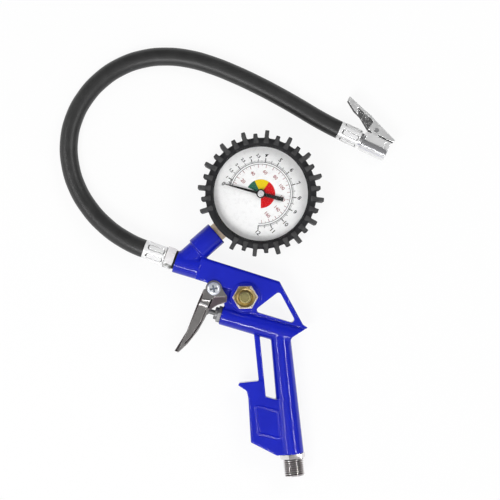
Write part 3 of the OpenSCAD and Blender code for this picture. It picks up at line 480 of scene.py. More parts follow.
def make_plated(name, colour, shade, base, spread, grain, metallic=1.0, zones=(),
                corners=(0.35, 0.485, 0.4)):
    """A plated or bare metal: clouds of a second shade, edges paler with wear and painted highlight,
    corners darker with grime and painted shade, and a drawn grain. Base and spread are its roughness,
    grain the depth of its lines in micrometres, zones (centre, weights, near, far, tint) that tint parts
    by where they lie, which the finishes below use for painted shade and highlight, and corners the
    darkness of their grime and painted shade and how far they reach."""
    finish, tree, bsdf = start_finish(name, metallic=metallic)
    bright = tuple(min(1.0, 1.25 * c + 0.04) for c in colour)
    dark = tuple(corners[0] * c for c in colour)
    paint(tree, bsdf,
          tinted(tree, colour, (use(tree, "stains", Cloud_Scale=140.0), shade),
                 *[(by_reach(tree, *zone[:4]), zone[4]) for zone in zones],
                 (use(tree, "grimy_and_shaded_corners", From=corners[1], To=corners[2]), dark),
                 (use(tree, "rubbed_and_lit_edges", From=0.53, To=0.62), bright)),
          use(tree, "handled", Base=base, Spread=spread, Smear_Scale=160.0))
    bumped(tree, bsdf, (use(tree, "drawn_grain"), grain),
           (use(tree, "skin", Peel_Scale=1500.0, Peel=0.6, Wave_Scale=260.0, Wave=0.8), 0.4 * grain + 2))
    return finish


def make_rubber(name, colour, worn_and_lit, base, peel_scale, depth, greys=(), gloss=0.25):
    """Moulded rubber, paler where it sticks out with wear and painted highlight; greys are paler zones as in
    make_plated, broken up by clouds.
    """
    finish, tree, bsdf = start_finish(name, Specular_IOR_Level=gloss)
    layers = [colour, (use(tree, "stains", Cloud_Scale=110.0, From=0.4, To=0.8), worn_and_lit),
              (use(tree, "rubbed_and_lit_edges", From=0.52, To=0.6, Patch_Scale=500.0), worn_and_lit)]
    for zone in greys:
        layers.append((maths(tree, "MULTIPLY", by_reach(tree, *zone[:4]),
                             use(tree, "stains", Cloud_Scale=260.0, From=0.1, To=0.6)), zone[4]))
    paint(tree, bsdf, tinted(tree, *layers), use(tree, "handled", Base=base, Spread=0.15, Smear_Scale=220.0))
    bumped(tree, bsdf, (use(tree, "skin", Peel_Scale=peel_scale, Peel=1.0, Wave_Scale=300.0, Wave=0.6),
                        depth))
    return finish


def make_print(name, colour, base=0.5):
    """Printing ink or enamel with a faint unevenness."""
    finish, tree, bsdf = start_finish(name, Specular_IOR_Level=0.15)
    paint(tree, bsdf, tinted(tree, colour, (use(tree, "stains", Cloud_Scale=400.0, From=0.5, To=0.9),
                                            tuple(0.85 * c for c in colour))),
          use(tree, "handled", Base=base, Spread=0.1, Smear_Scale=300.0))
    bumped(tree, bsdf, (use(tree, "skin", Peel_Scale=2500.0, Peel=0.6, Wave_Scale=400.0, Wave=0.3), 4))
    return finish


def make_clear_lens():
    """Clear plastic: its shadow and the light under it pass straight through."""
    finish, tree, bsdf = start_finish("clear_lens", Transmission_Weight=1.0, IOR=1.15)
    bsdf.inputs["Base Color"].default_value = (1, 1, 1, 1)
    tree.links.new(use(tree, "handled", Base=0.02, Spread=0.03, Smear_Scale=50.0), bsdf.inputs["Roughness"])
    path = tree.nodes.new("ShaderNodeLightPath").outputs
    through = maths(tree, "MAXIMUM", path["Is Shadow Ray"], path["Is Diffuse Ray"])
    mix = tree.nodes.new("ShaderNodeMixShader")
    tree.links.new(through, mix.inputs["Fac"])
    tree.links.new(bsdf.outputs[0], mix.inputs[1])
    tree.links.new(tree.nodes.new("ShaderNodeBsdfTransparent").outputs[0], mix.inputs[2])
    tree.links.new(mix.outputs[0], tree.nodes["Material Output"].inputs["Surface"])
    return finish


# weights of distances: from a point, from the plane across Z, and from lines along Y and Z
AROUND, ACROSS, ROUND_Y, ROUND_Z = (1, 1, 1), (0, 0, 1), (1, 0, 1), (1, 1, 0)
ORIGIN = (0, 0, 0)
gauge_spot, chuck_spot = at(GAUGE, 0), at(CHUCK, 0)
# points round which the hose nut is given painted shade
nut_shade_spot = at(PORT, 80, 8, 1.5)
seam_shade_spot = at(PORT, 142.9)               # so far off that its sphere is all but flat at the seam
# painted shade: near-black corners that start early, on the ferrules and the hose nut
SHADED_CORNERS = (0.08, 0.492, 0.44)               # dark corners that start early

blue_paint = make_blue_paint()
chrome = make_plated("chrome", (0.85, 0.85, 0.86), (0.77, 0.77, 0.79), 0.2, 0.1, 3)
white_chrome = make_plated("white_chrome", (0.98, 0.98, 0.98), (0.92, 0.92, 0.93), 0.2, 0.08, 3,
                           metallic=0.22, corners=SHADED_CORNERS)
# painted shade: near-black, for the sheet under the ferrule windows
groove_shade = make_plated("groove_shade", (0.045, 0.045, 0.045), (0.03, 0.03, 0.03), 0.45, 0.1, 5)
# painted shade on the hose nut: a near-black patch round one side, and a grey band at its end towards the
# ferrule
nut_chrome = make_plated("nut_chrome", (0.97, 0.94, 0.95), (0.9, 0.87, 0.88), 0.2, 0.08, 3,
                         metallic=0.3, corners=SHADED_CORNERS,
                         zones=[(nut_shade_spot, AROUND, 6.2, 5.6, (0.05, 0.055, 0.04)),
                                (seam_shade_spot, AROUND, 60.75, 60.35, (0.2, 0.19, 0.18))])
# painted shade: darker within 5.8 mm of the nipple's axis, in the thread's roots, at its neck and its tail
nipple_chrome = make_plated("nipple_chrome", (0.78, 0.75, 0.75), (0.68, 0.65, 0.65), 0.16, 0.08, 3,
                            metallic=0.85, zones=[(ORIGIN, ROUND_Y, 6.25, 5.8, (0.12, 0.1, 0.1))])
# a painted dark reflection: a grey band on the chuck body more than 5.35 mm off the chuck's middle plane
chuck_chrome = make_plated("chuck_chrome", (0.92, 0.92, 0.92), (0.84, 0.84, 0.85), 0.22, 0.1, 4,
                           metallic=0.5, zones=[(chuck_spot, ACROSS, 5.05, 5.35, (0.28, 0.28, 0.29))])
# painted shade: darker within 5.2 mm of the chuck's middle plane, inside the lever's channel
lever_chrome = make_plated("lever_chrome", (0.78, 0.78, 0.78), (0.68, 0.68, 0.68), 0.24, 0.1, 4,
                           metallic=0.6, zones=[(chuck_spot, ACROSS, 5.5, 5.2, (0.22, 0.22, 0.22))])
# on the trigger, by height: a painted highlight on the raised band and rim, painted shade on the lower
# steps, and near-black painted shade at the bend
satin_nickel = make_plated("satin_nickel", (0.36, 0.345, 0.34), (0.28, 0.27, 0.265), 0.36, 0.14, 14,
                           zones=[(ORIGIN, ACROSS, 8.2, 8.35, (0.9, 0.88, 0.88)),
                                  (ORIGIN, ACROSS, 7.85, 7.6, (0.2, 0.165, 0.18)),
                                  (ORIGIN, ACROSS, 7.2, 6.8, (0.08, 0.07, 0.07))])
zinc = make_plated("zinc", (0.2, 0.2, 0.205), (0.13, 0.13, 0.135), 0.5, 0.14, 6, metallic=0.7)
# painted shade: bluish-dark below 9.2 mm, in the cross recess and round the foot of the head
screw_zinc = make_plated("screw_zinc", (0.76, 0.79, 0.84), (0.6, 0.64, 0.72), 0.22, 0.1, 5, metallic=0.55,
                         zones=[(ORIGIN, ACROSS, 9.7, 9.2, (0.32, 0.37, 0.5))])
steel = make_plated("steel", (0.5, 0.5, 0.51), (0.42, 0.41, 0.41), 0.25, 0.12, 5)
brass = make_plated("brass", (0.62, 0.44, 0.17), (0.5, 0.36, 0.14), 0.28, 0.14, 6)
# a pale brass that paints the chamfer's highlight over the hexagon; its top face, above 12.15 mm, keeps a
# plain brass
highlit_rim_brass = make_plated("highlit_rim_brass", (0.95, 0.83, 0.76), (0.85, 0.7, 0.6), 0.3, 0.1, 4, metallic=0.6,
                        zones=[(ORIGIN, ACROSS, 12.15, 12.27, (0.36, 0.27, 0.13))])
dish_brass = make_plated("dish_brass", (0.42, 0.31, 0.14), (0.36, 0.28, 0.14), 0.34, 0.14, 6)
aged_brass = make_plated("aged_brass", (0.44, 0.38, 0.17), (0.36, 0.34, 0.17), 0.42, 0.14, 8)
shank_brass = make_plated("shank_brass", (0.58, 0.46, 0.35), (0.5, 0.4, 0.3), 0.34, 0.12, 6, metallic=0.7)
bronze = make_plated("bronze", (0.45, 0.25, 0.1), (0.4, 0.2, 0.08), 0.32, 0.1, 6)
black_rubber = make_rubber("black_rubber", (0.01, 0.01, 0.011), (0.02, 0.02, 0.021), 0.6, 1800.0, 40)
# paler grey over the lugs beyond 34.5 mm from the gauge's axis, and a painted highlight on the ridge tops
# above 17.5 mm
boot_rubber = make_rubber("boot_rubber", (0.009, 0.009, 0.0105), (0.02, 0.02, 0.022), 0.55, 1400.0, 60,
                          greys=[(gauge_spot, ROUND_Z, 34.5, 38.5, (0.08, 0.08, 0.08)),
                                 (ORIGIN, ACROSS, 17.5, 17.8, (0.06, 0.06, 0.061))])
hose_rubber = make_rubber("hose_rubber", (0.019, 0.019, 0.019), (0.03, 0.03, 0.03), 0.42, 1600.0, 30,
                          gloss=0.5)
clear_lens = make_clear_lens()
dial_white = make_print("dial_white", (0.93, 0.93, 0.93), 0.45)
pointer_black = make_print("pointer_black", (0.006, 0.006, 0.006), 0.38)
ink_black = make_print("ink_black", (0.01, 0.01, 0.011))
ink_pink = make_print("ink_pink", (0.38, 0.17, 0.17))
ink_green = make_print("ink_green", (0.02, 0.11, 0.07))
ink_yellow = make_print("ink_yellow", (0.8, 0.58, 0.006))
ink_red = make_print("ink_red", (0.62, 0.004, 0.008))
FINISH_OF_SLOT = {
    "blue_paint": blue_paint, "chrome_plate": chrome, "nickel_plate": satin_nickel,
    "zinc_plate": zinc, "steel": steel, "brass": brass, "bronze": bronze,
    "black_rubber": black_rubber, "hose_rubber": hose_rubber, "clear_lens": clear_lens,
    "dial_white": dial_white, "pointer_black": pointer_black}
for part in frame["record"]["subparts"]:
    node = frame["nodes"][part["node"]]
    node.data.materials.clear()
    node.data.materials.append(FINISH_OF_SLOT[part["material_slot"]])

# ---------------------------------------------------------------- hose
# points of the hose's middle line in the row frame, in millimetres
HOSE_LINE = [(-92.4, 159.7, -0.89), (-103.3, 169.5, -3.27), (-112.2, 181.4, -5.37), (-118.5, 195, -6.21),
             (-121.4, 209.7, -6.25), (-120.7, 224.7, -6.25), (-116, 238.9, -6.25), (-107.7, 251.3, -6.25),
             (-96.6, 261.3, -6.25), (-83.4, 268.3, -6.25), (-68.8, 271.8, -6.25), (-53.9, 271.8, -6.25),
             (-39.2, 268.7, -6.25), (-25.3, 263.2, -6.25), (-12, 256.3, -6.25), (0.9, 248.6, -6.25),
             (13.4, 240.4, -6.25), (25.7, 231.7, -6.25), (37.7, 222.8, -6.03)]
HOSE_MOUTH = 97.3          # where the hose leaves its ferrule, from the port's frame
HOSE_RADIUS = 5.75
HOSE_STRAIGHT = 5          # how far it runs straight at each fitting
hose_start, hose_end = at(PORT, HOSE_MOUTH), at(CHUCK, 0)
hose_points = [hose_start] + [Vector(p) * MM for p in HOSE_LINE] + [hose_end]
hose_line = bpy.data.curves.new("rubber_hose", "CURVE")
hose_line.dimensions = "3D"
hose_line.bevel_depth = HOSE_RADIUS * MM
hose_line.bevel_resolution = 10
hose_line.resolution_u = 16
hose_line.use_fill_caps = True
spline = hose_line.splines.new("BEZIER")
spline.bezier_points.add(len(hose_points) - 1)
for point, co in zip(spline.bezier_points, hose_points):
    point.co = co
    point.handle_left_type = point.handle_right_type = "AUTO"
for point, frame_ in ((spline.bezier_points[0], PORT), (spline.bezier_points[-1], CHUCK)):
    point.handle_left_type = point.handle_right_type = "ALIGNED"
    along = (frame_.to_3x3() @ Vector((1, 0, 0))).normalized() * HOSE_STRAIGHT * MM
    point.handle_left, point.handle_right = point.co - along, point.co + along
rubber_hose = bpy.data.objects.new("rubber_hose", hose_line)
bpy.context.scene.collection.objects.link(rubber_hose)
dress(rubber_hose, hose_rubber, "root", "hose_rubber", "hose")

# ---------------------------------------------------------------- body
cast_body = melted(cad_copy("cast_body", "body_casting", tidy=0), voxel=0.42, rounds=3, ratio=0.4)
dress(cast_body, blue_paint, "root", "blue_paint", "body_casting")

# ---------------------------------------------------------------- inlet
thread = threaded("inlet_thread", radius=6.58, depth=1.0, pitch=1.337, start=0.3, end=10.7)
cut(thread, turned("blank", [(0, 0), (0, 5.5), (1.1, 6.6), (11, 6.6), (11, 0)]), "INTERSECT")
cut(thread, turned("neck", [(10, 0), (10, 5.7), (11.4, 5.7), (11.4, 0)]), "UNION")
cut(thread, hexagon("collar", 14, 11.3, 14.3, turn=12, chamfer_low=0.9, chamfer_high=0.3), "UNION")
cut(thread, turned("tail", [(14.2, 0), (14.2, 4.86), (22.7, 4.86), (22.7, 0)]), "UNION")
cut(thread, turned("bore", [(-1, 0), (-1, 4.6), (0.4, 4.3), (1, 3.6), (11.3, 3.6), (11.3, 2.8), (24, 2.8),
                            (24, 0)]))
nipple = settle(smooth(thread, 30), HANDLE)
nipple.name = nipple.data.name = "inlet_nipple_turned"
dress(nipple, nipple_chrome, "root", "chrome_plate", "inlet_nipple")

# ---------------------------------------------------------------- trigger
trigger_plate = cad_copy("trigger_plate", "trigger")
# its pressed steps: name, outline, from height, to height, cut or added
for name, outline, low, high, operation in (
        ("slit", [(1.3, -6.4), (0.4, -6.6), (-0.3, -12.4), (0.6, -12.9)], 5, 9, "DIFFERENCE"),
        ("wing", [(1.8, -4.8), (9.6, -2.2), (11, -6), (8.6, -8.4), (6.25, -10.9), (0.9, -14.8), (0.6, -12)],
         7.45, 9, "DIFFERENCE"),
        ("bend", [(-5.0, -5), (-5.9, -12.5), (-9.0, -34.4), (-11.0, -46), (-15, -46), (-9, -4)], 6.85, 9,
         "DIFFERENCE"),
        ("groove", [(-0.5, -13.8), (-1.4, -23), (-4.7, -33.5), (-7.1, -38), (-7.8, -37.8), (-5.3, -33.2),
                    (-2.0, -22.8), (-1.1, -13.8)], 7.4, 9, "DIFFERENCE"),
        ("band", [(-6, -11.8), (-5.6, -10.2), (-0.9, -11.0), (-0.9, -12.4)], 7.4, 8.6, "UNION"),
        ("rim", [(-5, -8.2), (-5.1, -8.8), (0.2, -8.2), (0.2, -7.6)], 7.4, 8.4, "UNION")):
    cut(trigger_plate, drawn(name, outline, low, high, PIVOT), operation)
melted(trigger_plate, voxel=0.25, rounds=2, ratio=0.5)
dress(trigger_plate, satin_nickel, "trigger", "nickel_plate", "trigger")

# pivot screw with a cross recess
screw = turned("pivot_screw_turned", [(-12, 0), (-12, 2.5), (8.3, 2.5), (8.3, 4.1), (8.45, 4.2), (9.4, 4.2),
                                      (10.0, 3.95), (10.45, 3.4), (10.7, 2.6), (10.8, 1.3), (10.82, 0)],
               UPRIGHT)
for turn in (28, 118):
    cut(screw, drawn("slot", [(-2.4, -0.55), (2.4, -0.55), (2.4, 0.55), (-2.4, 0.55)], 8.9, 11.5,
                     place(0, 0, turn)))
cut(screw, turned("point", [(8.9, 0), (11.6, 1.25), (11.6, 0)], UPRIGHT, 24))
settle(smooth(screw, 35), PIVOT)
dress(screw, screw_zinc, "root", "zinc_plate", "pivot_screw")

back_nut = hexagon("pivot_nut_cut", 8, -10.8, -8.3, turn=10, chamfer_low=0.5, edge=0.15)
cut(back_nut, turned("cap", [(-11.7, 0), (-11.7, 2.7), (-11.4, 3.2), (-10.7, 3.5), (-10.7, 0)]), "UNION")
cut(back_nut, turned("hole", [(-13, 0), (-13, 2.55), (-8, 2.55), (-8, 0)], steps=48))
settle(smooth(back_nut, 30), PIVOT @ UPRIGHT)
dress(back_nut, zinc, "root", "zinc_plate", "pivot_nut")

# ---------------------------------------------------------------- inlet valve
gland = hexagon("gland_nut_cut", 9.8, -41.1, -38.7, turn=20, chamfer_low=0.5, chamfer_high=0.2, edge=0.15)
cut(gland, turned("nose", [(-43.1, 0), (-43.1, 3.6), (-42.7, 4), (-41, 4), (-41, 0)], steps=48), "UNION")
cut(gland, turned("tail", [(-38.8, 0), (-38.8, 4.25), (-32.7, 4.25), (-32.7, 0)], steps=48), "UNION")
cut(gland, turned("hole", [(-44, 0), (-44, 1.65), (-34.7, 1.65), (-34.7, 2.7), (-32, 2.7), (-32, 0)],
                  steps=48))
settle(smooth(gland, 30), BARREL)
dress(gland, zinc, "root", "zinc_plate", "gland_nut")

stem = turned("valve_stem_turned", [(-53.5, 0), (-53.5, 1.1), (-53, 1.6), (-48.9, 1.6), (-48.6, 2.4),
                                    (-46.8, 2.4), (-46.5, 1.6), (-14, 1.6), (-14, 0)], BARREL, 48)
dress(smooth(stem), zinc, "valve_stem", "zinc_plate", "valve_stem")

# ---------------------------------------------------------------- bleed valve
bleed_hex = hexagon("bleed_hexagon", 14, 7.3, 12.3, turn=-12, chamfer_high=0.75, edge=0.4)
cut(bleed_hex, turned("spigot", [(-1, 0), (-1, 5), (7.4, 5), (7.4, 0)], steps=48), "UNION")
cut(bleed_hex, turned("well", [(-2, 0), (-2, 1.7), (1.2, 1.7), (1.2, 3.65), (10.5, 3.65), (10.5, 6.3),
                               (13, 6.4), (13, 0)]))
settle(smooth(bleed_hex, 28), BLEED @ UPRIGHT)
dress(bleed_hex, highlit_rim_brass, "root", "brass", "bleed_body")
dish = turned("bleed_dish", [(10.6, 3.75), (10.9, 3.75), (11.05, 4.3), (11.3, 5.0), (11.9, 6.1),
                             (12.05, 6.25), (12.0, 6.35), (10.6, 6.35), (10.6, 3.75)], BLEED @ UPRIGHT)
dress(smooth(dish, 40), dish_brass, "root", "brass")
button = turned("bleed_button_turned", [(-1.4, 0), (-1.4, 1.1), (8.5, 1.1), (8.5, 3.6), (12.6, 3.6),
                                        (12.9, 3.3), (13, 2.7), (12.85, 2.5), (12.85, 2.35), (13.0, 2.2),
                                        (13.0, 0)], BLEED @ UPRIGHT)
dress(smooth(button), aged_brass, "bleed_button", "brass", "bleed_button")

# ---------------------------------------------------------------- gauge
DIAL_FACE = 9.1            # height of the printed side
DISC_RADIUS = 30.6         # of the dial and of the glass over it
GLASS_TOP, GLASS_UNDERSIDE, GLASS_CROWN = 14.6, 13.0, 0.7
DIAL_UP = 35.5             # the way up of the dial, from the row frame's X
SCALE = [(0, 159.2), (1, 148), (4, 76), (12, -100.5)]     # value, direction in the row frame
PRINT = 0.03               # thickness of the ink
BOLDNESS = 0.08            # how far a numeral's strokes are thickened
BAR_PER_PSI = 0.0689476

boot = melted(cad_copy("rubber_boot", "gauge_boot", tidy=0), voxel=0.42, rounds=3, ratio=0.5)
dress(boot, boot_rubber, "root", "black_rubber", "gauge_boot")

shank = cad_copy("gauge_shank", "gauge_socket")
dress(smooth(shank, 30), shank_brass, "root", "brass", "gauge_socket")

reach = [k / 16 for k in range(17)]
lens = turned("gauge_glass", [(GLASS_TOP + GLASS_CROWN * (1 - r ** 2), DISC_RADIUS * r) for r in reach]
              + [(GLASS_UNDERSIDE + GLASS_CROWN * (1 - r ** 2), DISC_RADIUS * r) for r in reversed(reach)],
              GAUGE @ UPRIGHT, 96)
dress(smooth(lens, 60), clear_lens, "root", "clear_lens", "gauge_lens")

dial = turned("dial_disc", [(8.5, 1.3), (8.5, 30.4), (8.6, DISC_RADIUS), (9.0, DISC_RADIUS),
                            (DIAL_FACE, 30.4), (DIAL_FACE, 1.3), (8.5, 1.3)], GAUGE @ UPRIGHT, 96)
dress(smooth(dial), dial_white, "root", "dial_white", "dial_plate")


def dial_angle(value):
    """Direction of a value on the dial, from the gauge frame's X."""
    for (low, a), (high, b) in zip(SCALE, SCALE[1:]):
        if value <= high:
            return a + (b - a) * (value - low) / (high - low) - DIAL_UP
    return SCALE[-1][1] - DIAL_UP


def arc_band(name, near, far, start, end, steps=90):
    """A printed arc between two radii and two directions."""
    turns = [math.radians(start + (end - start) * k / steps) for k in range(steps + 1)]
    outline = [(far * math.cos(t), far * math.sin(t)) for t in turns]
    outline += [(near * math.cos(t), near * math.sin(t)) for t in reversed(turns)]
    return drawn(name, outline, DIAL_FACE, DIAL_FACE + PRINT)


def ticks(name, near, far, width, values):
    """Lines between two radii, one at each value."""
    tick = drawn(name, [(near, -width / 2), (far, -width / 2), (far, width / 2), (near, width / 2)],
                 DIAL_FACE, DIAL_FACE + PRINT)
    return repeated(name, tick, [Matrix.Rotation(math.radians(dial_angle(v)), 4, "Z") for v in values])


def numbers(name, size, radius, labels):
    """Numerals that all stand the dial's way up; labels are (text, value)."""
    pieces = []
    for text, value in labels:
        turn = math.radians(dial_angle(value))
        bpy.ops.object.select_all(action="DESELECT")
        bpy.ops.object.text_add()
        figure = bpy.context.active_object
        figure.data.body = text
        figure.data.align_x = figure.data.align_y = "CENTER"
        figure.data.size = size * MM
        figure.data.offset = BOLDNESS * MM
        figure.data.extrude = PRINT / 2 * MM
        figure.data.resolution_u = 3
        alone(figure)
        bpy.ops.object.convert(target="MESH")
        spot = place(radius * math.cos(turn), radius * math.sin(turn), -90, DIAL_FACE + PRINT / 2)
        pieces.append(settle(new_piece(name), spot))
    return close_up(joined(name, *pieces))


def printed(piece, ink, slot_name):
    """Puts print that was laid out at the origin on the dial."""
    return dress(settle(piece, GAUGE), ink, "root", slot_name)


start_angle, end_angle = dial_angle(0), dial_angle(12)
scale_print = [
    arc_band("scale_arc", 19.5, 19.8, start_angle, end_angle),
    arc_band("scale_arc", 18.35, 18.65, start_angle, end_angle),
    ticks("bar_ticks", 19.8, 20.9, 0.22, [v / 10 for v in range(0, 121) if v % 5]),
    ticks("bar_ticks", 19.8, 21.6, 0.34, [v / 2 for v in range(0, 25) if v % 2]),
    ticks("bar_ticks", 19.8, 22.4, 0.56, range(0, 13))]
printed(joined("bar_scale", *scale_print), ink_black, "pointer_black")
printed(numbers("bar_numbers", 3.5, 24.2, [(str(v), v) for v in (0, *range(4, 13))]), ink_black,
        "pointer_black")
printed(numbers("bar_fractions", 2.3, 23.6, [(f"{v:g}", v) for v in (1, 1.5, 2, 2.5, 3, 3.5)]), ink_black,
        "pointer_black")
psi_fives = [v * BAR_PER_PSI for v in range(5, 175, 5) if v % 10]
psi_tens = [v * BAR_PER_PSI for v in range(10, 175, 10)]
printed(joined("psi_ticks", ticks("psi_ticks", 17.4, 18.3, 0.2, psi_fives),
               ticks("psi_ticks", 16.4, 18.3, 0.32, psi_tens)), ink_pink, "dial_white")
printed(numbers("psi_numbers", 2.9, 13.6, [(str(v), v * BAR_PER_PSI) for v in range(20, 180, 20)]),
        ink_pink, "dial_white")
# the coloured sector, by directions in the row frame
for name, ink, begin, end in (("green_zone", ink_green, 147.8, 109.8),
                              ("yellow_zone", ink_yellow, 109.8, 49.3),
                              ("red_zone", ink_red, 49.3, -95.8)):
    printed(arc_band(name, 1.6, 9.0, begin - DIAL_UP, end - DIAL_UP, 48), ink, "dial_white")

POINTER = GAUGE @ place(0, 0, 123.7)
blade = drawn("pointer_blade", [(-14.5, -1.3), (-14.5, 1.3), (-3, 1.1), (0, 1.5), (3, 0.85), (18, 0.5),
                                (24.4, 0.12), (24.4, -0.12), (18, -0.5), (3, -0.85), (0, -1.5), (-3, -1.1)],
              10.5, 11.0)
soft_edges(blade, 0.12, 30)
cut(blade, turned("collar", [(10.4, 0), (10.4, 2.4), (10.8, 2.85), (11.2, 2.85), (11.4, 2.6), (11.4, 0)],
                  UPRIGHT, 48), "UNION")
dress(settle(smooth(blade, 35), POINTER), pointer_black, "pointer", "pointer_black", "pointer")
hub = turned("pointer_hub", [(10.6, 0), (10.6, 2.1), (11.5, 2.1), (11.75, 1.9), (11.8, 1.6), (11.8, 0)],
             POINTER @ UPRIGHT, 48)
dress(smooth(hub), steel, "pointer", "steel")

# ---------------------------------------------------------------- hose fittings
washer = turned("rubber_washer", [(75.9, 4.4), (75.9, 5.8), (76.2, 6.1), (76.9, 6.1), (77.2, 5.8),
                                  (77.2, 4.4), (75.9, 4.4)], PORT)
dress(smooth(washer), black_rubber, "root", "black_rubber", "port_washer")

hose_nut = hexagon("hose_nut", 12, 77.2, 82.9, turn=0, chamfer_low=0.7, chamfer_high=0.5, edge=0.2)
cut(hose_nut, turned("tail", [(68.9, 0), (68.9, 5), (75.9, 5), (75.9, 4.3), (77.3, 4.3), (77.3, 0)],
                     steps=48), "UNION")
cut(hose_nut, turned("barb", [(82.8, 0), (82.8, 2.9), (96.3, 2.9), (96.3, 0)], steps=32), "UNION")
cut(hose_nut, turned("bore", [(68, 0), (68, 1.6), (98, 1.6), (98, 0)], steps=32))
settle(smooth(hose_nut, 30), PORT)
dress(hose_nut, nut_chrome, "root", "chrome_plate", "hose_fitting")


FERRULE_LENGTH = 14.2


def crimped(name, start, collar_first, matrix, turn):
    """A ferrule with a plain collar at the hose and six long windows pressed round the rest, over a
    near-black sheet that is a piece of its own and paints the shade in the windows."""
    outline = [(0, 4.9), (0, 5.6), (0.4, 6.0), (13.8, 6.0), (FERRULE_LENGTH, 5.6), (FERRULE_LENGTH, 2.95),
               (13.3, 2.95), (13.3, 4.9), (0, 4.9)]
    body = turned(name, outline, steps=96)
    window = drawn("window", [(2.3, -1.1), (3.1, -1.9), (12.5, -1.9), (13.4, -1.1), (13.4, 1.1), (12.5, 1.9),
                              (3.1, 1.9), (2.3, 1.1)], 5.2, 7)
    cut(window, drawn("island", [(3.0, -0.8), (3.5, -1.25), (12.2, -1.25), (12.8, -0.8), (12.8, 0.8),
                                 (12.2, 1.25), (3.5, 1.25), (3.0, 0.8)], 5.0, 5.8))
    cut(body, repeated("windows", window, [rolled(60 * k + turn) for k in range(6)]))
    melted(body, voxel=0.14, rounds=1)
    matrix = matrix @ place(start, 0, 0) @ (ROW if collar_first else place(FERRULE_LENGTH, 0, 180))
    # painted shade: a near-black sheet that shows through the windows
    shade_sheet = turned(name + "_floor", [(1.5, 5.05), (1.5, 5.42), (13.1, 5.42), (13.1, 5.05), (1.5, 5.05)],
                   matrix)
    dress(smooth(shade_sheet, 40), groove_shade, "root", "chrome_plate")
    return settle(body, matrix)


ferrule = crimped("hose_ferrule_pressed", 83.1, False, PORT, -25)
dress(ferrule, white_chrome, "root", "chrome_plate", "hose_ferrule")
chuck_ferrule = crimped("chuck_ferrule_pressed", 0, True, CHUCK, 3)
dress(chuck_ferrule, white_chrome, "root", "chrome_plate", "chuck_ferrule")

# ---------------------------------------------------------------- chuck
chuck_neck = turned("chuck_neck", [(1, 1.6), (1, 2.9), (14.2, 2.9), (14.2, 4.6), (15.8, 4.6), (15.8, 3.6),
                                   (21.2, 3.6), (21.2, 1.6), (1, 1.6)], CHUCK, 48)
dress(smooth(chuck_neck), chrome, "root", "chrome_plate", "chuck_fitting")
chuck_shell = cad_copy("chuck_shell", "chuck_body")
for outline in ([(30.1, 1.1), (30.7, 1.1), (30.7, 5.8), (30.1, 5.8)],
                [(16.0, 0.2), (30.7, 0.2), (30.7, 0.9), (16.0, 0.9)]):
    cut(chuck_shell, drawn("groove", outline, 4.2, 5.2, CHUCK))
melted(chuck_shell, voxel=0.18, rounds=1, ratio=0.7)
dress(chuck_shell, chuck_chrome, "root", "chrome_plate", "chuck_body")
thumb_lever = cad_copy("thumb_lever", "chuck_lever")
cut(thumb_lever, drawn("gap", [(4.6, 17.7), (10.1, 16.0), (14.5, 14.9), (17.3, 13.5), (16.2, 6.5),
                               (8.3, 12.0), (7.3, 12.5)], 4.6, 6.8, CHUCK))
melted(thumb_lever, voxel=0.18, rounds=1, ratio=0.6)
dress(thumb_lever, lever_chrome, "chuck_lever", "chrome_plate", "chuck_lever")

# ---------------------------------------------------------------- springs
def sprung(name, node):
    """A spring's copy in steel, with a mesh of its own."""
    spring = dress(smooth(cad_copy(name, node, tidy=0), 50), steel, "root", "steel", node)
    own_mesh(spring)
    return spring


sprung("valve_spring_wound", "valve_spring")
sprung("bleed_spring_wound", "bleed_spring")
lever_spring = sprung("lever_spring_wound", "chuck_spring")

# ---------------------------------------------------------------- stage and light
def seen_directly(tree):
    """1 for rays that look at, mirror or look through to a surface, and 0 for those that light it."""
    path = tree.nodes.new("ShaderNodeLightPath").outputs
    return maths(tree, "MAXIMUM", path["Is Camera Ray"],
                 maths(tree, "MAXIMUM", path["Is Glossy Ray"], path["Is Transmission Ray"]))


BENCH_GLOW = 0.9           # share of pure white in the bench where it is looked at
bpy.ops.object.select_all(action="DESELECT")
bpy.ops.mesh.primitive_plane_add(size=4, location=(0, 0.14, BENCH_Z))
bench = new_piece("bench")
bench_white, tree, bsdf = start_finish("bench_white", Roughness=0.8)
bsdf.inputs["Base Color"].default_value = (0.9, 0.9, 0.9, 1)
glow = add_node(tree, "Emission", {"Color": (1, 1, 1, 1), "Strength": 1.0})
share = add_node(tree, "MixShader", {"Fac": maths(tree, "MULTIPLY", seen_directly(tree), BENCH_GLOW),
                                     1: bsdf.outputs[0], 2: glow.outputs[0]})
tree.links.new(share.outputs[0], tree.nodes["Material Output"].inputs["Surface"])
bench.data.materials.append(bench_white)

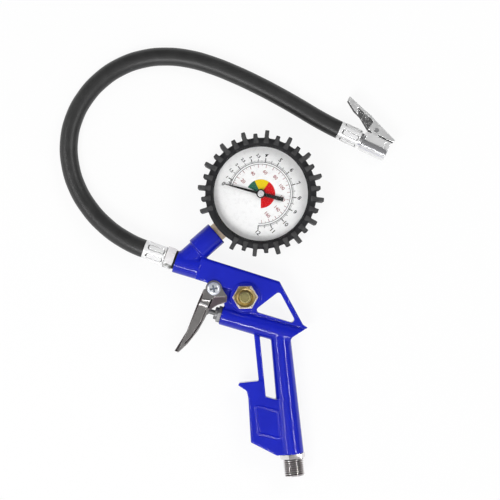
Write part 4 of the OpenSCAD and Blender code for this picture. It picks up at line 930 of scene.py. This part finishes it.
# what gloss mirrors: greys by the height of the direction, dimmed away from the bright side
MIRRORED = ((0.0, 1.0), (0.12, 1.0), (0.18, 0.35), (0.26, 0.35), (0.34, 0.95), (0.48, 0.95), (0.58, 0.42),
            (1.0, 0.42))
BRIGHT_SIDE = (-0.5, -0.8, 0)
EVEN_LIGHT = 0.5           # strength of the world where it lights
studio = bpy.data.worlds.new("studio")
studio.use_nodes = True
tree = studio.node_tree
direction = tree.nodes.new("ShaderNodeTexCoord").outputs["Generated"]
height = add_node(tree, "SeparateXYZ", {"Vector": direction}).outputs["Z"]
ramp = add_node(tree, "ValToRGB", {"Fac": height})
stops = ramp.color_ramp.elements
for spot, value in MIRRORED[1:-1]:
    stops.new(spot)
for stop, (spot, value) in zip(stops, MIRRORED):
    stop.color = (value, value, value, 1)
aside = add_node(tree, "VectorMath", {0: direction, 1: BRIGHT_SIDE}, operation="DOT_PRODUCT")
side = add_node(tree, "MapRange", {"Value": aside.outputs["Value"], "From Min": -0.45, "From Max": 0.15,
                                   "To Min": 0.3, "To Max": 1.0})
path = tree.nodes.new("ShaderNodeLightPath").outputs
even = add_node(tree, "Background", {"Color": (1, 1, 1, 1), "Strength": EVEN_LIGHT})
mirrored = add_node(tree, "Background", {"Color": ramp.outputs["Color"], "Strength": side.outputs[0]})
white = add_node(tree, "Background", {"Color": (1, 1, 1, 1), "Strength": 1.0})
first_mix = add_node(tree, "MixShader", {"Fac": path["Is Glossy Ray"], 1: even.outputs[0],
                                         2: mirrored.outputs[0]})
second_mix = add_node(tree, "MixShader", {"Fac": maths(tree, "MAXIMUM", path["Is Camera Ray"],
                                                       path["Is Transmission Ray"]),
                                          1: first_mix.outputs[0], 2: white.outputs[0]})
tree.links.new(second_mix.outputs[0], tree.nodes["World Output"].inputs["Surface"])
bpy.context.scene.world = studio

# two soft lamps that light, and three strips that only gloss shows:
# name, direction round Z and above the bench in degrees, watts, width and depth in metres
LAMPS = (("key", -133, 60, 7.0, 0.5, 0.5), ("fill", 37, 46, 3.5, 0.5, 0.5),
         ("strip_low", -113, 46, 6.5, 0.8, 0.04), ("strip_left", 180, 40, 2.4, 0.8, 0.03),
         ("strip_right", 0, 54, 4.0, 0.8, 0.03))
LAMP_DISTANCE = 1.2
for name, side, height, power, width, depth in LAMPS:
    light = bpy.data.lights.new(name, "AREA")
    light.shape = "RECTANGLE"
    light.energy, light.size, light.size_y = power, width, depth
    lamp = bpy.data.objects.new(name, light)
    lamp.visible_glossy = name.startswith("strip")
    lamp.visible_diffuse = not lamp.visible_glossy
    side, height = math.radians(side), math.radians(height)
    away = Vector((math.cos(side) * math.cos(height), math.sin(side) * math.cos(height), math.sin(height)))
    lamp.location = LOOK_AT + away * LAMP_DISTANCE
    lamp.rotation_euler = (-away).to_track_quat("-Z", "Y").to_euler()
    bpy.context.scene.collection.objects.link(lamp)
